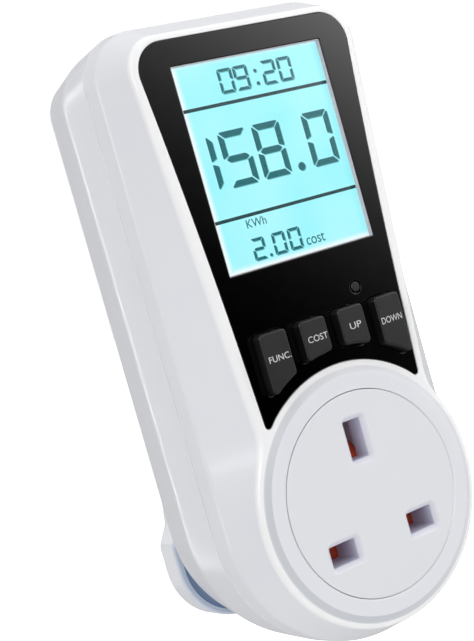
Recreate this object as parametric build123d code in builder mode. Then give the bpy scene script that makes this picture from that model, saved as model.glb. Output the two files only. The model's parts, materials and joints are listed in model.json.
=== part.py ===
from build123d import *
import os

# Plug-in power meter with a front socket, a rear plug, a display and four keys.
# Millimetres. +Z up, the front faces -Y, and the plug pins point along +Y.
# The origin is the centre of the plug face, on the axis shared by socket and plug.

# ---------------------------------------------------------------- depths along Y
KEY_Y = -53.75  # top of the keys
PLATEAU_Y = -52.0  # raised ring and disc around the socket apertures
FACE_Y = -51.25  # front face of the case
RIM_Y = -50.5  # where the rounded edge of the face ends
CREASE_Y = -41.6  # the bevelled flank meets the side of the case
SEAM_Y = -36.5  # parting line of the two shells
RIDGE_Y = -24.5  # widest line of the rear shell, where it starts to taper
EDGE_Y = -12.2  # start of the bevel round the rear wall
BACK_Y = -11.2  # rear wall of the case
FLANGE_Y = -6.7  # front face of the plug flange
INNER_FRONT_Y = -47.8  # inside of the front wall
INNER_BACK_Y = -13.4  # inside of the rear wall

# ---------------------------------------------------------------- case outlines
FACE_TOP = 106.6
FACE_HALF_TOP = 29.5
FACE_HALF_NECK = 23.3
FACE_CORNER_R = 7.6
SOCKET_RIM_R = 29.2
NECK_R = 12.0
FACE_EDGE = 0.7
CREASE = (32.7, 110.3, 11.2)  # half width, top and corner radius
SEAM = (33.0, 110.9, 11.8)
RIDGE = (32.7, 109.8, 12.0)
EDGE = (30.2, 107.4, 9.2)
BACK = (29.2, 106.4, 8.2)
WALL = 2.2
SEAM_GAP = 0.2
LIP = 1.0
LIP_LENGTH = 2.0
LIP_CLEARANCE = 0.15
LIP_TAPER = 0.5  # how far the lip leans in at its front end
LIP_ROOT = 1.5  # length of the lip that is buried in the rear wall

# ---------------------------------------------------------------- socket
PLATEAU_R = 26.5
PLATEAU_FOOT_R = 28.2
DISC_R = 22.75
DISC_GAP = 0.15
DISC_FLANGE_R = 24.2
DISC_BACK_Y = -46.5
COLLAR_BACK_Y = -43.3  # rear end of the collars round the two lower apertures
COLLAR_WALL = 1.2
APERTURE_CHAMFER = 1.1
PIN_X = 11.1
PIN_Z = -9.9
EARTH_Z = 12.3
LIVE_APERTURE = (7.0, 4.6)
EARTH_APERTURE = (4.6, 8.8)
LIVE_SPOTS = [(-PIN_X, PIN_Z), (PIN_X, PIN_Z)]

# ---------------------------------------------------------------- plug
LIVE_PIN = (6.35, 3.95)
EARTH_PIN = (3.95, 8.0)
LIVE_PIN_LENGTH = 17.7
EARTH_PIN_LENGTH = 22.7
SLEEVE_LENGTH = 9.5
SLEEVE_WALL = 0.65
SLEEVE_ROOT = 3.0
FIT = 0.05

# ---------------------------------------------------------------- fascia, display and keys
FASCIA_FRONT_Y = -51.15
FASCIA_BACK_Y = -49.85
FASCIA_TOP = 105.3
FASCIA_SIDE = [(27.75, 98.2), (24.6, 65.0), (21.6, 18.0)]  # points down the bowed side
FASCIA_CORNER_R = 6.8
FASCIA_ARC_R = 29.3
FASCIA_TIP_R = 1.0
FASCIA_FIT = 0.12
WINDOW = (39.8, 45.5)
WINDOW_Z = 76.7
LCD_OPENING = (43.4, 52.4)
LCD_Z = 75.4
KEY_CENTRES = {"func": -15.3, "cost": -4.7, "up": 5.9, "down": 16.5}
KEY_WIDTH = 7.2
KEY_TOP = 40.7
KEY_ARC_R = 32.8
KEY_CORNER_R = 1.0
KEY_GAP = 0.25
KEY_LIP = 0.8
KEY_PRESS_Z = 36.0
KEY_STEM_R = 2.2
RESET_X = 11.0
RESET_Z = 44.1
RESET_R = 1.15
RESET_HOLE_R = 1.5

# ---------------------------------------------------------------- boards and fasteners
DISPLAY_BOARD_Y = (-42.0, -40.4)  # front and rear faces
POWER_BOARD_Y = (-20.6, -19.0)
CASE_POSTS = [(-24.2, 101.4), (24.2, 101.4), (-24.8, 22.0), (24.8, 22.0)]
CASE_POST_END_Y = -30.0
UPPER_POST_Y = -40.2
LOWER_POST_Y = -43.7
FRONT_POST_R = 3.2
REAR_POST_R = 4.0
SOCKET_POSTS = [(-20.5, 8.0), (20.5, 8.0)]
POWER_POSTS = [(x, z) for x in (-16.5, 16.5) for z in (38.0, 92.0)]
DISPLAY_POSTS = [(-21.6, 44.0), (21.6, 44.0), (-12.0, 104.9), (12.0, 104.9)]
PLUG_SCREWS = [(-5.9, 12.0), (5.9, 12.0), (0.0, -9.9)]
BIG_SCREW = (1.4, 2.6, 2.0)  # shank radius, head radius and head height
SMALL_SCREW = (1.2, 2.2, 1.5)
PILOT_CLEARANCE = 0.02
SLOT = (0.6, 0.8)  # cross recess: width and depth

os.makedirs("parts", exist_ok=True)


def level(y):
    """Plane at depth y, looking from the front: sketch x is +X and sketch y is +Z."""
    return Plane.XZ.offset(-y)


def save(part, name):
    """Name a finished piece and write it out."""
    part.label = name
    export_step(part, f"parts/{name}.step")


# ---------------------------------------------------------------- outlines


def slab_face(half_width, top, corner_r, inset=0.0):
    """Straight sides, rounded top corners and a half-round foot about the socket axis.

    The sides are split at the heights of the neck, so that the outline has the same
    edges as face_outline and the two can be lofted edge to edge.
    """
    half = half_width - inset
    high = top - inset
    r = corner_r - inset
    mid = 0.7071 * r
    with BuildSketch() as face:
        with BuildLine():
            Line((r - half, high), (half - r, high))
            ThreePointArc((half - r, high), (half - r + mid, high - r + mid), (half, high - r))
            Polyline((half, high - r), (half, 20.0), (half, 14.0), (half, 0.0))
            ThreePointArc((half, 0.0), (0.0, -half), (-half, 0.0))
            Polyline((-half, 0.0), (-half, 14.0), (-half, 20.0), (-half, high - r))
            ThreePointArc((-half, high - r), (r - half - mid, high - r + mid), (r - half, high))
        make_face()
    return face.sketch


def face_outline(inset=0.0):
    """Front outline: tapered display head, concave neck and the round socket end."""
    half = FACE_HALF_TOP - inset
    neck = FACE_HALF_NECK - inset
    high = FACE_TOP - inset
    r = FACE_CORNER_R - inset
    rim = SOCKET_RIM_R - inset
    bend = NECK_R + inset
    centre_x = neck + bend
    reach = rim + bend
    centre_z = (reach**2 - centre_x**2) ** 0.5
    touch = (centre_x * rim / reach, centre_z * rim / reach)
    turn = ((neck + touch[0]) / 2 - 0.42, (centre_z + touch[1]) / 2 - 0.11)
    mid = 0.7071 * r
    low = (rim * 0.966, rim * 0.2588)
    with BuildSketch() as face:
        with BuildLine():
            Line((r - half, high), (half - r, high))
            ThreePointArc((half - r, high), (half - r + mid, high - r + mid), (half, high - r))
            Line((half, high - r), (neck, centre_z))
            ThreePointArc((neck, centre_z), turn, touch)
            ThreePointArc(touch, low, (rim, 0.0))
            ThreePointArc((rim, 0.0), (0.0, -rim), (-rim, 0.0))
            ThreePointArc((-rim, 0.0), (-low[0], low[1]), (-touch[0], touch[1]))
            ThreePointArc((-touch[0], touch[1]), (-turn[0], turn[1]), (-neck, centre_z))
            Line((-neck, centre_z), (-half, high - r))
            ThreePointArc((-half, high - r), (r - half - mid, high - r + mid), (r - half, high))
        make_face()
    return face.sketch


def fascia_outline(inset=0.0):
    """Panel outline: rounded top, tapered sides and a foot that follows the socket ring."""
    right = [(x - inset, z) for x, z in FASCIA_SIDE]
    left = [(-x, z) for x, z in right]
    high = FASCIA_TOP - inset
    with BuildSketch() as face:
        with BuildLine():
            Polyline(left[0], (left[0][0], high), (right[0][0], high), right[0])
            ThreePointArc(*right)
            Line(right[-1], left[-1])
            ThreePointArc(*reversed(left))
        make_face()
        fillet(face.vertices().group_by(Axis.Y)[-1], FASCIA_CORNER_R - inset)
        Circle(FASCIA_ARC_R + inset, mode=Mode.SUBTRACT)
        fillet(face.vertices().group_by(Axis.Y)[0], FASCIA_TIP_R - inset)
    return face.sketch


def key_outline(centre_x, grow=0.0):
    """Key outline: square top, and a foot on an arc about the socket axis."""
    with BuildSketch() as face:
        with Locations((centre_x, KEY_TOP - 10.0)):
            Rectangle(KEY_WIDTH, 20.0)
        Circle(KEY_ARC_R, mode=Mode.SUBTRACT)
        fillet(face.vertices(), KEY_CORNER_R)
        if grow:
            offset(amount=grow, mode=Mode.REPLACE)
    return face.sketch


def flange_outline():
    """Plug flange outline: tapered head, notched sides and wide round-shouldered foot."""
    head, waist, foot = (21.0, 24.5), (24.9, 0.6), 27.9
    right = [head, waist, (foot, -4.0), (foot, -25.5)]
    left = [(-x, z) for x, z in reversed(right)]
    with BuildSketch() as face:
        with BuildLine():
            FilletPolyline(*right, *left, radius=[9.0, 3.0, 4.0, 15.0, 15.0, 4.0, 3.0, 9.0], close=True)
        make_face()
    return face.sketch


# ---------------------------------------------------------------- small shapes


def plate(name, centre, size, y_span):
    """Rectangular block: centre and size are in X and Z, y_span is front and rear."""
    with BuildPart() as block:
        with BuildSketch(level(y_span[1])):
            with Locations(centre):
                Rectangle(*size)
        extrude(amount=y_span[1] - y_span[0])
    save(block.part, name)


def screws(spots, dims, head_y, tip_y, head_forward):
    """Identical screws: a pan head with a cross recess on a plain shank."""
    shank_r, head_r, head_h = dims
    way = 1 if head_forward else -1
    with BuildPart() as group:
        with BuildSketch(level(head_y)):
            with Locations(*spots):
                Circle(head_r)
        extrude(amount=way * head_h)
        with BuildSketch(level(head_y - way * head_h)):
            with Locations(*spots):
                Rectangle(head_r * 1.3, SLOT[0])
                Rectangle(SLOT[0], head_r * 1.3)
        extrude(amount=-way * SLOT[1], mode=Mode.SUBTRACT)
        with BuildSketch(level(tip_y)):
            with Locations(*spots):
                Circle(shank_r)
        extrude(amount=tip_y - head_y)
    return group.part


# ---------------------------------------------------------------- front shell

with BuildPart() as front_shell:
    for y, outline in (
        (FACE_Y, face_outline(FACE_EDGE)),
        (RIM_Y, face_outline()),
        (CREASE_Y, slab_face(*CREASE)),
        (SEAM_Y, slab_face(*SEAM)),
    ):
        with BuildSketch(level(y)):
            add(outline)
    loft(ruled=True)
    for y, outline in (
        (INNER_FRONT_Y, face_outline(1.2)),
        (CREASE_Y, slab_face(*CREASE, inset=WALL)),
        (SEAM_Y, slab_face(*SEAM, inset=WALL)),
    ):
        with BuildSketch(level(y)):
            add(outline)
    loft(ruled=True, mode=Mode.SUBTRACT)
    with BuildSketch(level(FACE_Y)):
        Circle(PLATEAU_FOOT_R)
    with BuildSketch(level(PLATEAU_Y)):
        Circle(PLATEAU_R)
    loft()
    with BuildSketch(level(FASCIA_BACK_Y + FIT)):
        add(fascia_outline())
    extrude(amount=3.0, mode=Mode.SUBTRACT)
    with BuildSketch(level(INNER_FRONT_Y)):
        with Locations(*DISPLAY_POSTS):
            Circle(1.9)
    extrude(amount=INNER_FRONT_Y - DISPLAY_BOARD_Y[0] + 0.02)
    with BuildSketch(level(CASE_POST_END_Y - SEAM_GAP)):
        with Locations(*CASE_POSTS[:2]):
            Circle(FRONT_POST_R)
    extrude(amount=CASE_POST_END_Y - SEAM_GAP - UPPER_POST_Y)
    with BuildSketch(level(SEAM_Y - LIP_LENGTH)):
        for side in (-1, 1):
            with Locations((side * 28.2, 101.4)):
                Rectangle(5.0, 2.0)
    extrude(amount=SEAM_Y - LIP_LENGTH - UPPER_POST_Y)
    with BuildSketch(level(CASE_POST_END_Y - SEAM_GAP)):
        with Locations(*CASE_POSTS[2:]):
            Circle(FRONT_POST_R)
    extrude(amount=CASE_POST_END_Y - SEAM_GAP - LOWER_POST_Y)
    with BuildSketch(level(CASE_POST_END_Y)):
        with Locations(*CASE_POSTS):
            Circle(BIG_SCREW[0] + PILOT_CLEARANCE)
    extrude(amount=8.5, mode=Mode.SUBTRACT)
    with BuildSketch(level(DISPLAY_BOARD_Y[0])):
        with Locations(*DISPLAY_POSTS):
            Circle(SMALL_SCREW[0] + PILOT_CLEARANCE)
    extrude(amount=5.0, mode=Mode.SUBTRACT)
    with BuildSketch(level(INNER_FRONT_Y + 1.0)):
        Circle(DISC_R + DISC_GAP)
        with Locations((0, LCD_Z)):
            Rectangle(*LCD_OPENING)
        with Locations((RESET_X, RESET_Z)):
            Circle(RESET_HOLE_R)
        for centre_x in KEY_CENTRES.values():
            add(key_outline(centre_x, KEY_GAP))
    extrude(amount=10.0, mode=Mode.SUBTRACT)
save(front_shell.part, "front_shell")

# ---------------------------------------------------------------- rear shell

REAR_SEAM_Y = SEAM_Y + SEAM_GAP
with BuildPart() as rear_shell:
    for y, outline in (
        (REAR_SEAM_Y, slab_face(*SEAM)),
        (RIDGE_Y, slab_face(*RIDGE)),
        (EDGE_Y, slab_face(*EDGE)),
        (BACK_Y, slab_face(*BACK)),
    ):
        with BuildSketch(level(y)):
            add(outline)
    loft(ruled=True)
    for y, outline in (
        (REAR_SEAM_Y, slab_face(*SEAM, inset=WALL)),
        (RIDGE_Y, slab_face(*RIDGE, inset=WALL)),
        (INNER_BACK_Y, slab_face(*EDGE, inset=WALL)),
    ):
        with BuildSketch(level(y)):
            add(outline)
    loft(ruled=True, mode=Mode.SUBTRACT)
    with BuildSketch(level(REAR_SEAM_Y + LIP_ROOT)):
        add(slab_face(*SEAM, inset=WALL - 2 * LIP_CLEARANCE))
    extrude(amount=LIP_ROOT)
    for y, lean in ((REAR_SEAM_Y, 0.0), (REAR_SEAM_Y - LIP_LENGTH, LIP_TAPER)):
        with BuildSketch(level(y)):
            add(slab_face(*SEAM, inset=WALL + LIP_CLEARANCE + lean))
    loft(ruled=True)
    with BuildSketch(level(REAR_SEAM_Y + LIP_ROOT)):
        add(slab_face(*SEAM, inset=WALL + LIP_CLEARANCE + LIP_TAPER + LIP))
    extrude(amount=LIP_LENGTH + LIP_ROOT, mode=Mode.SUBTRACT)
    with BuildSketch(level(INNER_BACK_Y)):
        with Locations(*CASE_POSTS):
            Circle(REAR_POST_R)
    extrude(amount=INNER_BACK_Y - CASE_POST_END_Y)
    with BuildSketch(level(INNER_BACK_Y)):
        with Locations(*SOCKET_POSTS):
            Circle(3.1)
    extrude(amount=10.55)
    with BuildSketch(level(INNER_BACK_Y)):
        with Locations(*POWER_POSTS):
            Circle(2.6)
    extrude(amount=INNER_BACK_Y - POWER_BOARD_Y[1] - 0.02)
    with BuildSketch(level(BACK_Y)):
        with Locations(*CASE_POSTS):
            Circle(BIG_SCREW[0] + 0.2)
    extrude(amount=30.0, mode=Mode.SUBTRACT)
    with BuildSketch(level(BACK_Y)):
        with Locations(*CASE_POSTS):
            Circle(BIG_SCREW[1] + 0.2)
    extrude(amount=8.0, mode=Mode.SUBTRACT)
    with BuildSketch(level(INNER_BACK_Y - 2.0)):
        with Locations(*SOCKET_POSTS):
            Circle(BIG_SCREW[0] + PILOT_CLEARANCE)
    extrude(amount=12.0, mode=Mode.SUBTRACT)
    with BuildSketch(level(INNER_BACK_Y - 0.3)):
        with Locations(*POWER_POSTS):
            Circle(SMALL_SCREW[0] + PILOT_CLEARANCE)
    extrude(amount=6.0, mode=Mode.SUBTRACT)
    with BuildSketch(level(BACK_Y)):
        with Locations((0, 1.75)):
            RectangleRounded(33.6 + 2 * FIT, 32.6 + 2 * FIT, 4.0 + FIT)
    extrude(amount=5.0, mode=Mode.SUBTRACT)
save(rear_shell.part, "rear_shell")

# ---------------------------------------------------------------- plug base

with BuildPart() as plug_base:
    with BuildSketch(level(0.0)):
        add(flange_outline())
    extrude(amount=-FLANGE_Y)
    fillet(plug_base.edges().group_by(Axis.Y)[0], 0.9)
    fillet(plug_base.edges().group_by(Axis.Y)[-1], 0.6)
    with BuildSketch(level(FLANGE_Y + 0.5)):
        with Locations((0, 0.5)):
            RectangleRounded(36.0, 39.0, 9.0)
    extrude(amount=FLANGE_Y + 0.5 - BACK_Y)
    with BuildSketch(level(BACK_Y)):
        with Locations((0, 1.75)):
            RectangleRounded(33.6, 32.6, 4.0)
    extrude(amount=BACK_Y - INNER_BACK_Y)
    with BuildSketch(level(0.0)):
        with Locations(*LIVE_SPOTS):
            Rectangle(LIVE_PIN[0] + 2 * FIT, LIVE_PIN[1] + 2 * FIT)
        with Locations((0, EARTH_Z)):
            Rectangle(EARTH_PIN[0] + 2 * FIT, EARTH_PIN[1] + 2 * FIT)
    extrude(amount=20.0, mode=Mode.SUBTRACT)
    with BuildSketch(level(-4.0)):
        with Locations(*PLUG_SCREWS):
            Circle(SMALL_SCREW[0] + PILOT_CLEARANCE)
    extrude(amount=12.0, mode=Mode.SUBTRACT)
save(plug_base.part, "plug_base")

# ---------------------------------------------------------------- fascia panel

with BuildPart() as fascia_panel:
    with BuildSketch(level(FASCIA_BACK_Y)):
        add(fascia_outline(FASCIA_FIT))
        with Locations((0, WINDOW_Z)):
            Rectangle(*WINDOW, mode=Mode.SUBTRACT)
        with Locations((RESET_X, RESET_Z)):
            Circle(RESET_HOLE_R, mode=Mode.SUBTRACT)
        for centre_x in KEY_CENTRES.values():
            add(key_outline(centre_x, KEY_GAP), mode=Mode.SUBTRACT)
    extrude(amount=FASCIA_BACK_Y - FASCIA_FRONT_Y)
save(fascia_panel.part, "fascia_panel")

# ---------------------------------------------------------------- display stack

GLASS_Y = (FASCIA_BACK_Y + 0.85, FASCIA_BACK_Y + 2.85)
plate("window_lens", (0, LCD_Z), (43.0, 52.0), (FASCIA_BACK_Y + 0.02, FASCIA_BACK_Y + 0.62))
plate("front_polariser", (0, LCD_Z), (42.2, 51.0), (GLASS_Y[0] - 0.2, GLASS_Y[0] - 0.01))
plate("lcd_glass", (0, LCD_Z), (42.4, 51.4), GLASS_Y)
plate("rear_polariser", (0, 76.6), (42.2, 47.0), (GLASS_Y[1] + 0.01, GLASS_Y[1] + 0.2))
plate("light_guide", (0, 76.4), (42.4, 46.4), (GLASS_Y[1] + 0.25, GLASS_Y[1] + 3.0))
plate("zebra_strip", (0, 51.2), (38.0, 2.0), (GLASS_Y[1] + 0.01, DISPLAY_BOARD_Y[0] - 0.01))

with BuildPart() as backlight_leds:
    with BuildSketch(level(DISPLAY_BOARD_Y[0] - 0.01)):
        with Locations((-11, 100.4), (11, 100.4)):
            Rectangle(3.4, 1.3)
    extrude(amount=4.2)
save(backlight_leds.part, "backlight_leds")

with BuildPart() as lcd_frame:
    with BuildSketch(level(DISPLAY_BOARD_Y[0] - 0.02)):
        with Locations((0, 75.2)):
            RectangleRounded(45.2, 55.6, 1.0)
        with Locations((0, LCD_Z)):
            Rectangle(42.8, 51.8, mode=Mode.SUBTRACT)
        with Locations((0, 52.7)):
            Rectangle(43.0, 0.8)
    extrude(amount=DISPLAY_BOARD_Y[0] - 0.02 - (INNER_FRONT_Y + 0.05))
    with BuildSketch(level(GLASS_Y[1] + 0.22)):
        with Locations((0, 52.7)):
            Rectangle(42.8, 1.0)
    extrude(amount=5.0, mode=Mode.SUBTRACT)
save(lcd_frame.part, "lcd_frame")

# ---------------------------------------------------------------- keys and keypad

KEY_FLANGE_Y = (INNER_FRONT_Y + 0.05, INNER_FRONT_Y + 1.05)
DOME_TOP_Y = -44.45
PILL_Y = (-43.58, -43.15)

for name, centre_x in KEY_CENTRES.items():
    with BuildPart() as key:
        with BuildSketch(level(KEY_FLANGE_Y[0])):
            add(key_outline(centre_x))
        extrude(amount=KEY_FLANGE_Y[0] - KEY_Y)
        fillet(key.edges().group_by(Axis.Y)[0], 0.55)
        with BuildSketch(level(KEY_FLANGE_Y[1])):
            add(key_outline(centre_x, KEY_LIP))
        extrude(amount=KEY_FLANGE_Y[1] - KEY_FLANGE_Y[0])
        with BuildSketch(level(DOME_TOP_Y - 0.01)):
            with Locations((centre_x, KEY_PRESS_Z)):
                Circle(KEY_STEM_R)
        extrude(amount=DOME_TOP_Y - 0.01 - KEY_FLANGE_Y[1])
    save(key.part, f"{name}_key")
    with BuildPart() as pill:
        with BuildSketch(level(PILL_Y[1])):
            with Locations((centre_x, KEY_PRESS_Z)):
                Circle(1.5)
        extrude(amount=PILL_Y[1] - PILL_Y[0])
    save(pill.part, f"{name}_contact_pill")

MAT_Y = (-42.9, DISPLAY_BOARD_Y[0] - 0.01)
DOME_SPOTS = [(centre_x, KEY_PRESS_Z) for centre_x in KEY_CENTRES.values()]
with BuildPart() as keypad_mat:
    with BuildSketch(level(MAT_Y[1])):
        with Locations((0.6, 35.8)):
            RectangleRounded(41.6, 11.6, 1.5)
    extrude(amount=MAT_Y[1] - MAT_Y[0])
    for spot in DOME_SPOTS:
        with BuildSketch(level(MAT_Y[0])):
            with Locations(spot):
                Circle(3.6)
        with BuildSketch(level(DOME_TOP_Y)):
            with Locations(spot):
                Circle(2.5)
        loft()
        with BuildSketch(level(MAT_Y[0])):
            with Locations(spot):
                Circle(3.0)
        with BuildSketch(level(-43.6)):
            with Locations(spot):
                Circle(2.2)
        loft(mode=Mode.SUBTRACT)
        with BuildSketch(level(MAT_Y[1])):
            with Locations(spot):
                Circle(3.0)
        extrude(amount=MAT_Y[1] - MAT_Y[0], mode=Mode.SUBTRACT)
save(keypad_mat.part, "keypad_mat")

# ---------------------------------------------------------------- reset button and switch

RESET_SPOT = (RESET_X, RESET_Z)
SWITCH_TOP_Y = -44.4
PLUNGER_Y = (-45.4, -43.9)
with BuildPart() as reset_button:
    for radius, front, back in (
        (RESET_R, FASCIA_FRONT_Y - 0.15, KEY_FLANGE_Y[0]),
        (2.0, KEY_FLANGE_Y[0], -46.9),
        (1.0, -46.9, PLUNGER_Y[0] - 0.02),
    ):
        with BuildSketch(level(back)):
            with Locations(RESET_SPOT):
                Circle(radius)
        extrude(amount=back - front)
    fillet(reset_button.edges().group_by(Axis.Y)[0], 0.3)
save(reset_button.part, "reset_button")

with BuildPart() as reset_switch:
    with BuildSketch(level(DISPLAY_BOARD_Y[0] - 0.01)):
        with Locations(RESET_SPOT):
            Rectangle(4.5, 4.5)
    extrude(amount=DISPLAY_BOARD_Y[0] - 0.01 - SWITCH_TOP_Y)
    with BuildSketch(level(-43.4)):
        with Locations(RESET_SPOT):
            Circle(1.15)
    extrude(amount=2.0, mode=Mode.SUBTRACT)
save(reset_switch.part, "reset_switch")

with BuildPart() as reset_switch_plunger:
    with BuildSketch(level(PLUNGER_Y[1])):
        with Locations(RESET_SPOT):
            Circle(1.1)
    extrude(amount=PLUNGER_Y[1] - PLUNGER_Y[0])
save(reset_switch_plunger.part, "reset_switch_plunger")

# ---------------------------------------------------------------- display board

with BuildPart() as display_board:
    with BuildSketch(level(DISPLAY_BOARD_Y[1])) as board:
        with Locations((0, 68.3)):
            Rectangle(48.0, 77.4)
        fillet(board.vertices(), 2.0)
        with Locations(*DISPLAY_POSTS):
            Circle(SMALL_SCREW[0] + 0.1, mode=Mode.SUBTRACT)
    extrude(amount=DISPLAY_BOARD_Y[1] - DISPLAY_BOARD_Y[0])
save(display_board.part, "display_board")

BEHIND_DISPLAY_Y = DISPLAY_BOARD_Y[1] + 0.01


def chip(name, centre, body, height, leads, lead_y, surface_y, way):
    """Chip with rows of gull-wing leads; way is +1 when it stands off towards +Y."""
    near = surface_y + way * 0.15
    far = near + way * height
    with BuildPart() as package:
        with BuildSketch(level(max(near, far))):
            with Locations(centre):
                Rectangle(*body)
        extrude(amount=height)
        with BuildSketch(level(max(surface_y, surface_y + way * lead_y))):
            for side in (-1, 1):
                with Locations((centre[0] + side * (body[0] / 2 + 0.5), centre[1])):
                    with GridLocations(1.0, body[1] / leads, 1, leads):
                        Rectangle(1.4, 0.45)
        extrude(amount=lead_y)
    save(package.part, name)


chip("controller_chip", (6.0, 52.0), (10.0, 10.0), 1.4, 10, 0.5, BEHIND_DISPLAY_Y, 1)

with BuildPart() as crystal:
    with BuildSketch(Plane.YZ.offset(-12.0)):
        with Locations((BEHIND_DISPLAY_Y + 1.5, 55.0)):
            Circle(1.5)
    extrude(amount=8.0)
save(crystal.part, "crystal")

BATTERY_Z = 68.0
BATTERY_R = 5.6
BATTERY_Y = BEHIND_DISPLAY_Y + BATTERY_R + 0.3
with BuildPart() as backup_battery:
    with BuildSketch(Plane.YZ.offset(-9.0)):
        with Locations((BATTERY_Y, BATTERY_Z)):
            Circle(BATTERY_R)
    extrude(amount=18.0)
    for x in (-3.0, 3.0):
        with BuildSketch(Plane.YZ.offset(x - 0.25)):
            with Locations((BATTERY_Y, BATTERY_Z)):
                Circle(BATTERY_R)
                Circle(BATTERY_R - 0.4, mode=Mode.SUBTRACT)
        extrude(amount=0.5, mode=Mode.SUBTRACT)
save(backup_battery.part, "backup_battery")

with BuildPart() as battery_clips:
    for x in (-9.8, 9.1):
        with BuildSketch(Plane.YZ.offset(x)):
            with Locations(((BEHIND_DISPLAY_Y + BATTERY_Y) / 2, BATTERY_Z)):
                Rectangle(BATTERY_Y - BEHIND_DISPLAY_Y, 4.0)
        extrude(amount=0.7)
save(battery_clips.part, "battery_clips")

# ---------------------------------------------------------------- link between the boards

LINK_SPOT = (-6.0, 36.0)
POWER_FRONT_Y = POWER_BOARD_Y[0] - 0.01
DISPLAY_SOCKET_Y = (BEHIND_DISPLAY_Y, BEHIND_DISPLAY_Y + 5.0)
POWER_SOCKET_Y = (POWER_FRONT_Y - 5.0, POWER_FRONT_Y)

with BuildPart() as ribbon_sockets:
    for front, back in (DISPLAY_SOCKET_Y, POWER_SOCKET_Y):
        with BuildSketch(level(back)):
            with Locations(LINK_SPOT):
                Rectangle(12.0, 6.0)
        extrude(amount=back - front)
save(ribbon_sockets.part, "ribbon_sockets")

with BuildPart() as ribbon_cable:
    with BuildSketch(level(POWER_SOCKET_Y[0] - 0.01)):
        with Locations(LINK_SPOT):
            with GridLocations(1.2, 1.0, 8, 1):
                Circle(0.65)
    extrude(amount=POWER_SOCKET_Y[0] - DISPLAY_SOCKET_Y[1] - 0.02)
save(ribbon_cable.part, "ribbon_cable")

# ---------------------------------------------------------------- power board

with BuildPart() as power_board:
    with BuildSketch(level(POWER_BOARD_Y[1])) as board:
        with Locations((0, 65.0)):
            Rectangle(40.0, 70.0)
        fillet(board.vertices(), 1.5)
        with Locations(*POWER_POSTS):
            Circle(SMALL_SCREW[0] + 0.1, mode=Mode.SUBTRACT)
    extrude(amount=POWER_BOARD_Y[1] - POWER_BOARD_Y[0])
save(power_board.part, "power_board")

chip("metering_chip", (0.0, 50.0), (7.5, 15.4), 2.3, 12, 0.6, POWER_FRONT_Y, -1)

with BuildPart() as supply_capacitor:
    with BuildSketch(level(POWER_FRONT_Y)):
        with Locations((0, 82.0)):
            Rectangle(26.0, 12.0)
    extrude(amount=11.5)
    fillet(supply_capacitor.edges().filter_by(Axis.Y), 0.8)
    fillet(supply_capacitor.edges().group_by(Axis.Y)[0], 0.6)
save(supply_capacitor.part, "supply_capacitor")

with BuildPart() as smoothing_capacitor:
    with BuildSketch(level(POWER_FRONT_Y)):
        with Locations((-13.5, 65.0)):
            Circle(5.0)
    extrude(amount=7.0)
    fillet(smoothing_capacitor.edges().group_by(Axis.Y)[0], 0.5)
save(smoothing_capacitor.part, "smoothing_capacitor")

with BuildPart() as varistor:
    with BuildSketch(Plane.YZ.offset(12.0)):
        with Locations((POWER_FRONT_Y - 5.6, 68.0)):
            Circle(5.4)
    extrude(amount=4.0)
    fillet(varistor.edges(), 1.2)
save(varistor.part, "varistor")

plate("bridge_rectifier", (1.0, 65.0), (8.5, 6.5), (POWER_FRONT_Y - 3.2, POWER_FRONT_Y))

with BuildPart() as dropper_resistor:
    with BuildSketch(Plane.YZ.offset(-6.0)):
        with Locations((POWER_FRONT_Y - 2.3, 97.2)):
            Circle(2.2)
    extrude(amount=12.0)
    with BuildSketch(Plane.YZ.offset(-3.5)):
        with Locations((POWER_FRONT_Y - 2.3, 97.2)):
            Circle(2.3)
            Circle(1.9, mode=Mode.SUBTRACT)
    extrude(amount=7.0, mode=Mode.SUBTRACT)
save(dropper_resistor.part, "dropper_resistor")

with BuildPart() as shunt_resistor:
    with BuildSketch(Plane.YZ.offset(9.1)):
        with BuildLine():
            Polyline(
                (POWER_FRONT_Y, 37.2),
                (POWER_FRONT_Y, 39.2),
                (POWER_FRONT_Y - 2.6, 39.2),
                (POWER_FRONT_Y - 2.6, 55.0),
                (POWER_FRONT_Y, 55.0),
                (POWER_FRONT_Y, 57.0),
                (POWER_FRONT_Y - 3.6, 57.0),
                (POWER_FRONT_Y - 3.6, 37.2),
                close=True,
            )
        make_face()
    extrude(amount=4.0)
save(shunt_resistor.part, "shunt_resistor")

# ---------------------------------------------------------------- socket disc

with BuildPart() as socket_disc:
    with BuildSketch(level(DISC_BACK_Y)):
        Circle(DISC_R)
    extrude(amount=DISC_BACK_Y - PLATEAU_Y)
    with BuildSketch(level(DISC_BACK_Y)):
        Circle(DISC_FLANGE_R)
    extrude(amount=DISC_BACK_Y - INNER_FRONT_Y - FIT)
    with BuildSketch(level(COLLAR_BACK_Y)):
        with Locations(*LIVE_SPOTS):
            Rectangle(LIVE_APERTURE[0] + 2 * COLLAR_WALL, LIVE_APERTURE[1] + 2 * COLLAR_WALL)
    extrude(amount=COLLAR_BACK_Y - DISC_BACK_Y)
    with BuildSketch(level(COLLAR_BACK_Y)):
        with Locations(*LIVE_SPOTS):
            Rectangle(*LIVE_APERTURE)
        with Locations((0, EARTH_Z)):
            Rectangle(*EARTH_APERTURE)
    extrude(amount=COLLAR_BACK_Y - PLATEAU_Y, mode=Mode.SUBTRACT)
    disc_face = socket_disc.faces().sort_by(Axis.Y)[0]
    for mouth in disc_face.inner_wires():
        chamfer(mouth.edges(), APERTURE_CHAMFER)
save(socket_disc.part, "socket_disc")

# ---------------------------------------------------------------- socket base

BASE_Y = (-46.4, -24.0)
BASE_R = 26.8
RECESS_FLOOR_Y = -39.9
CHAMBER_Y = -38.0
SHUTTER_Y = (-46.3, -40.6)  # stem, front and rear
ARM_Y = COLLAR_BACK_Y + 0.2  # front of the arms that close the lower apertures

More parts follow.
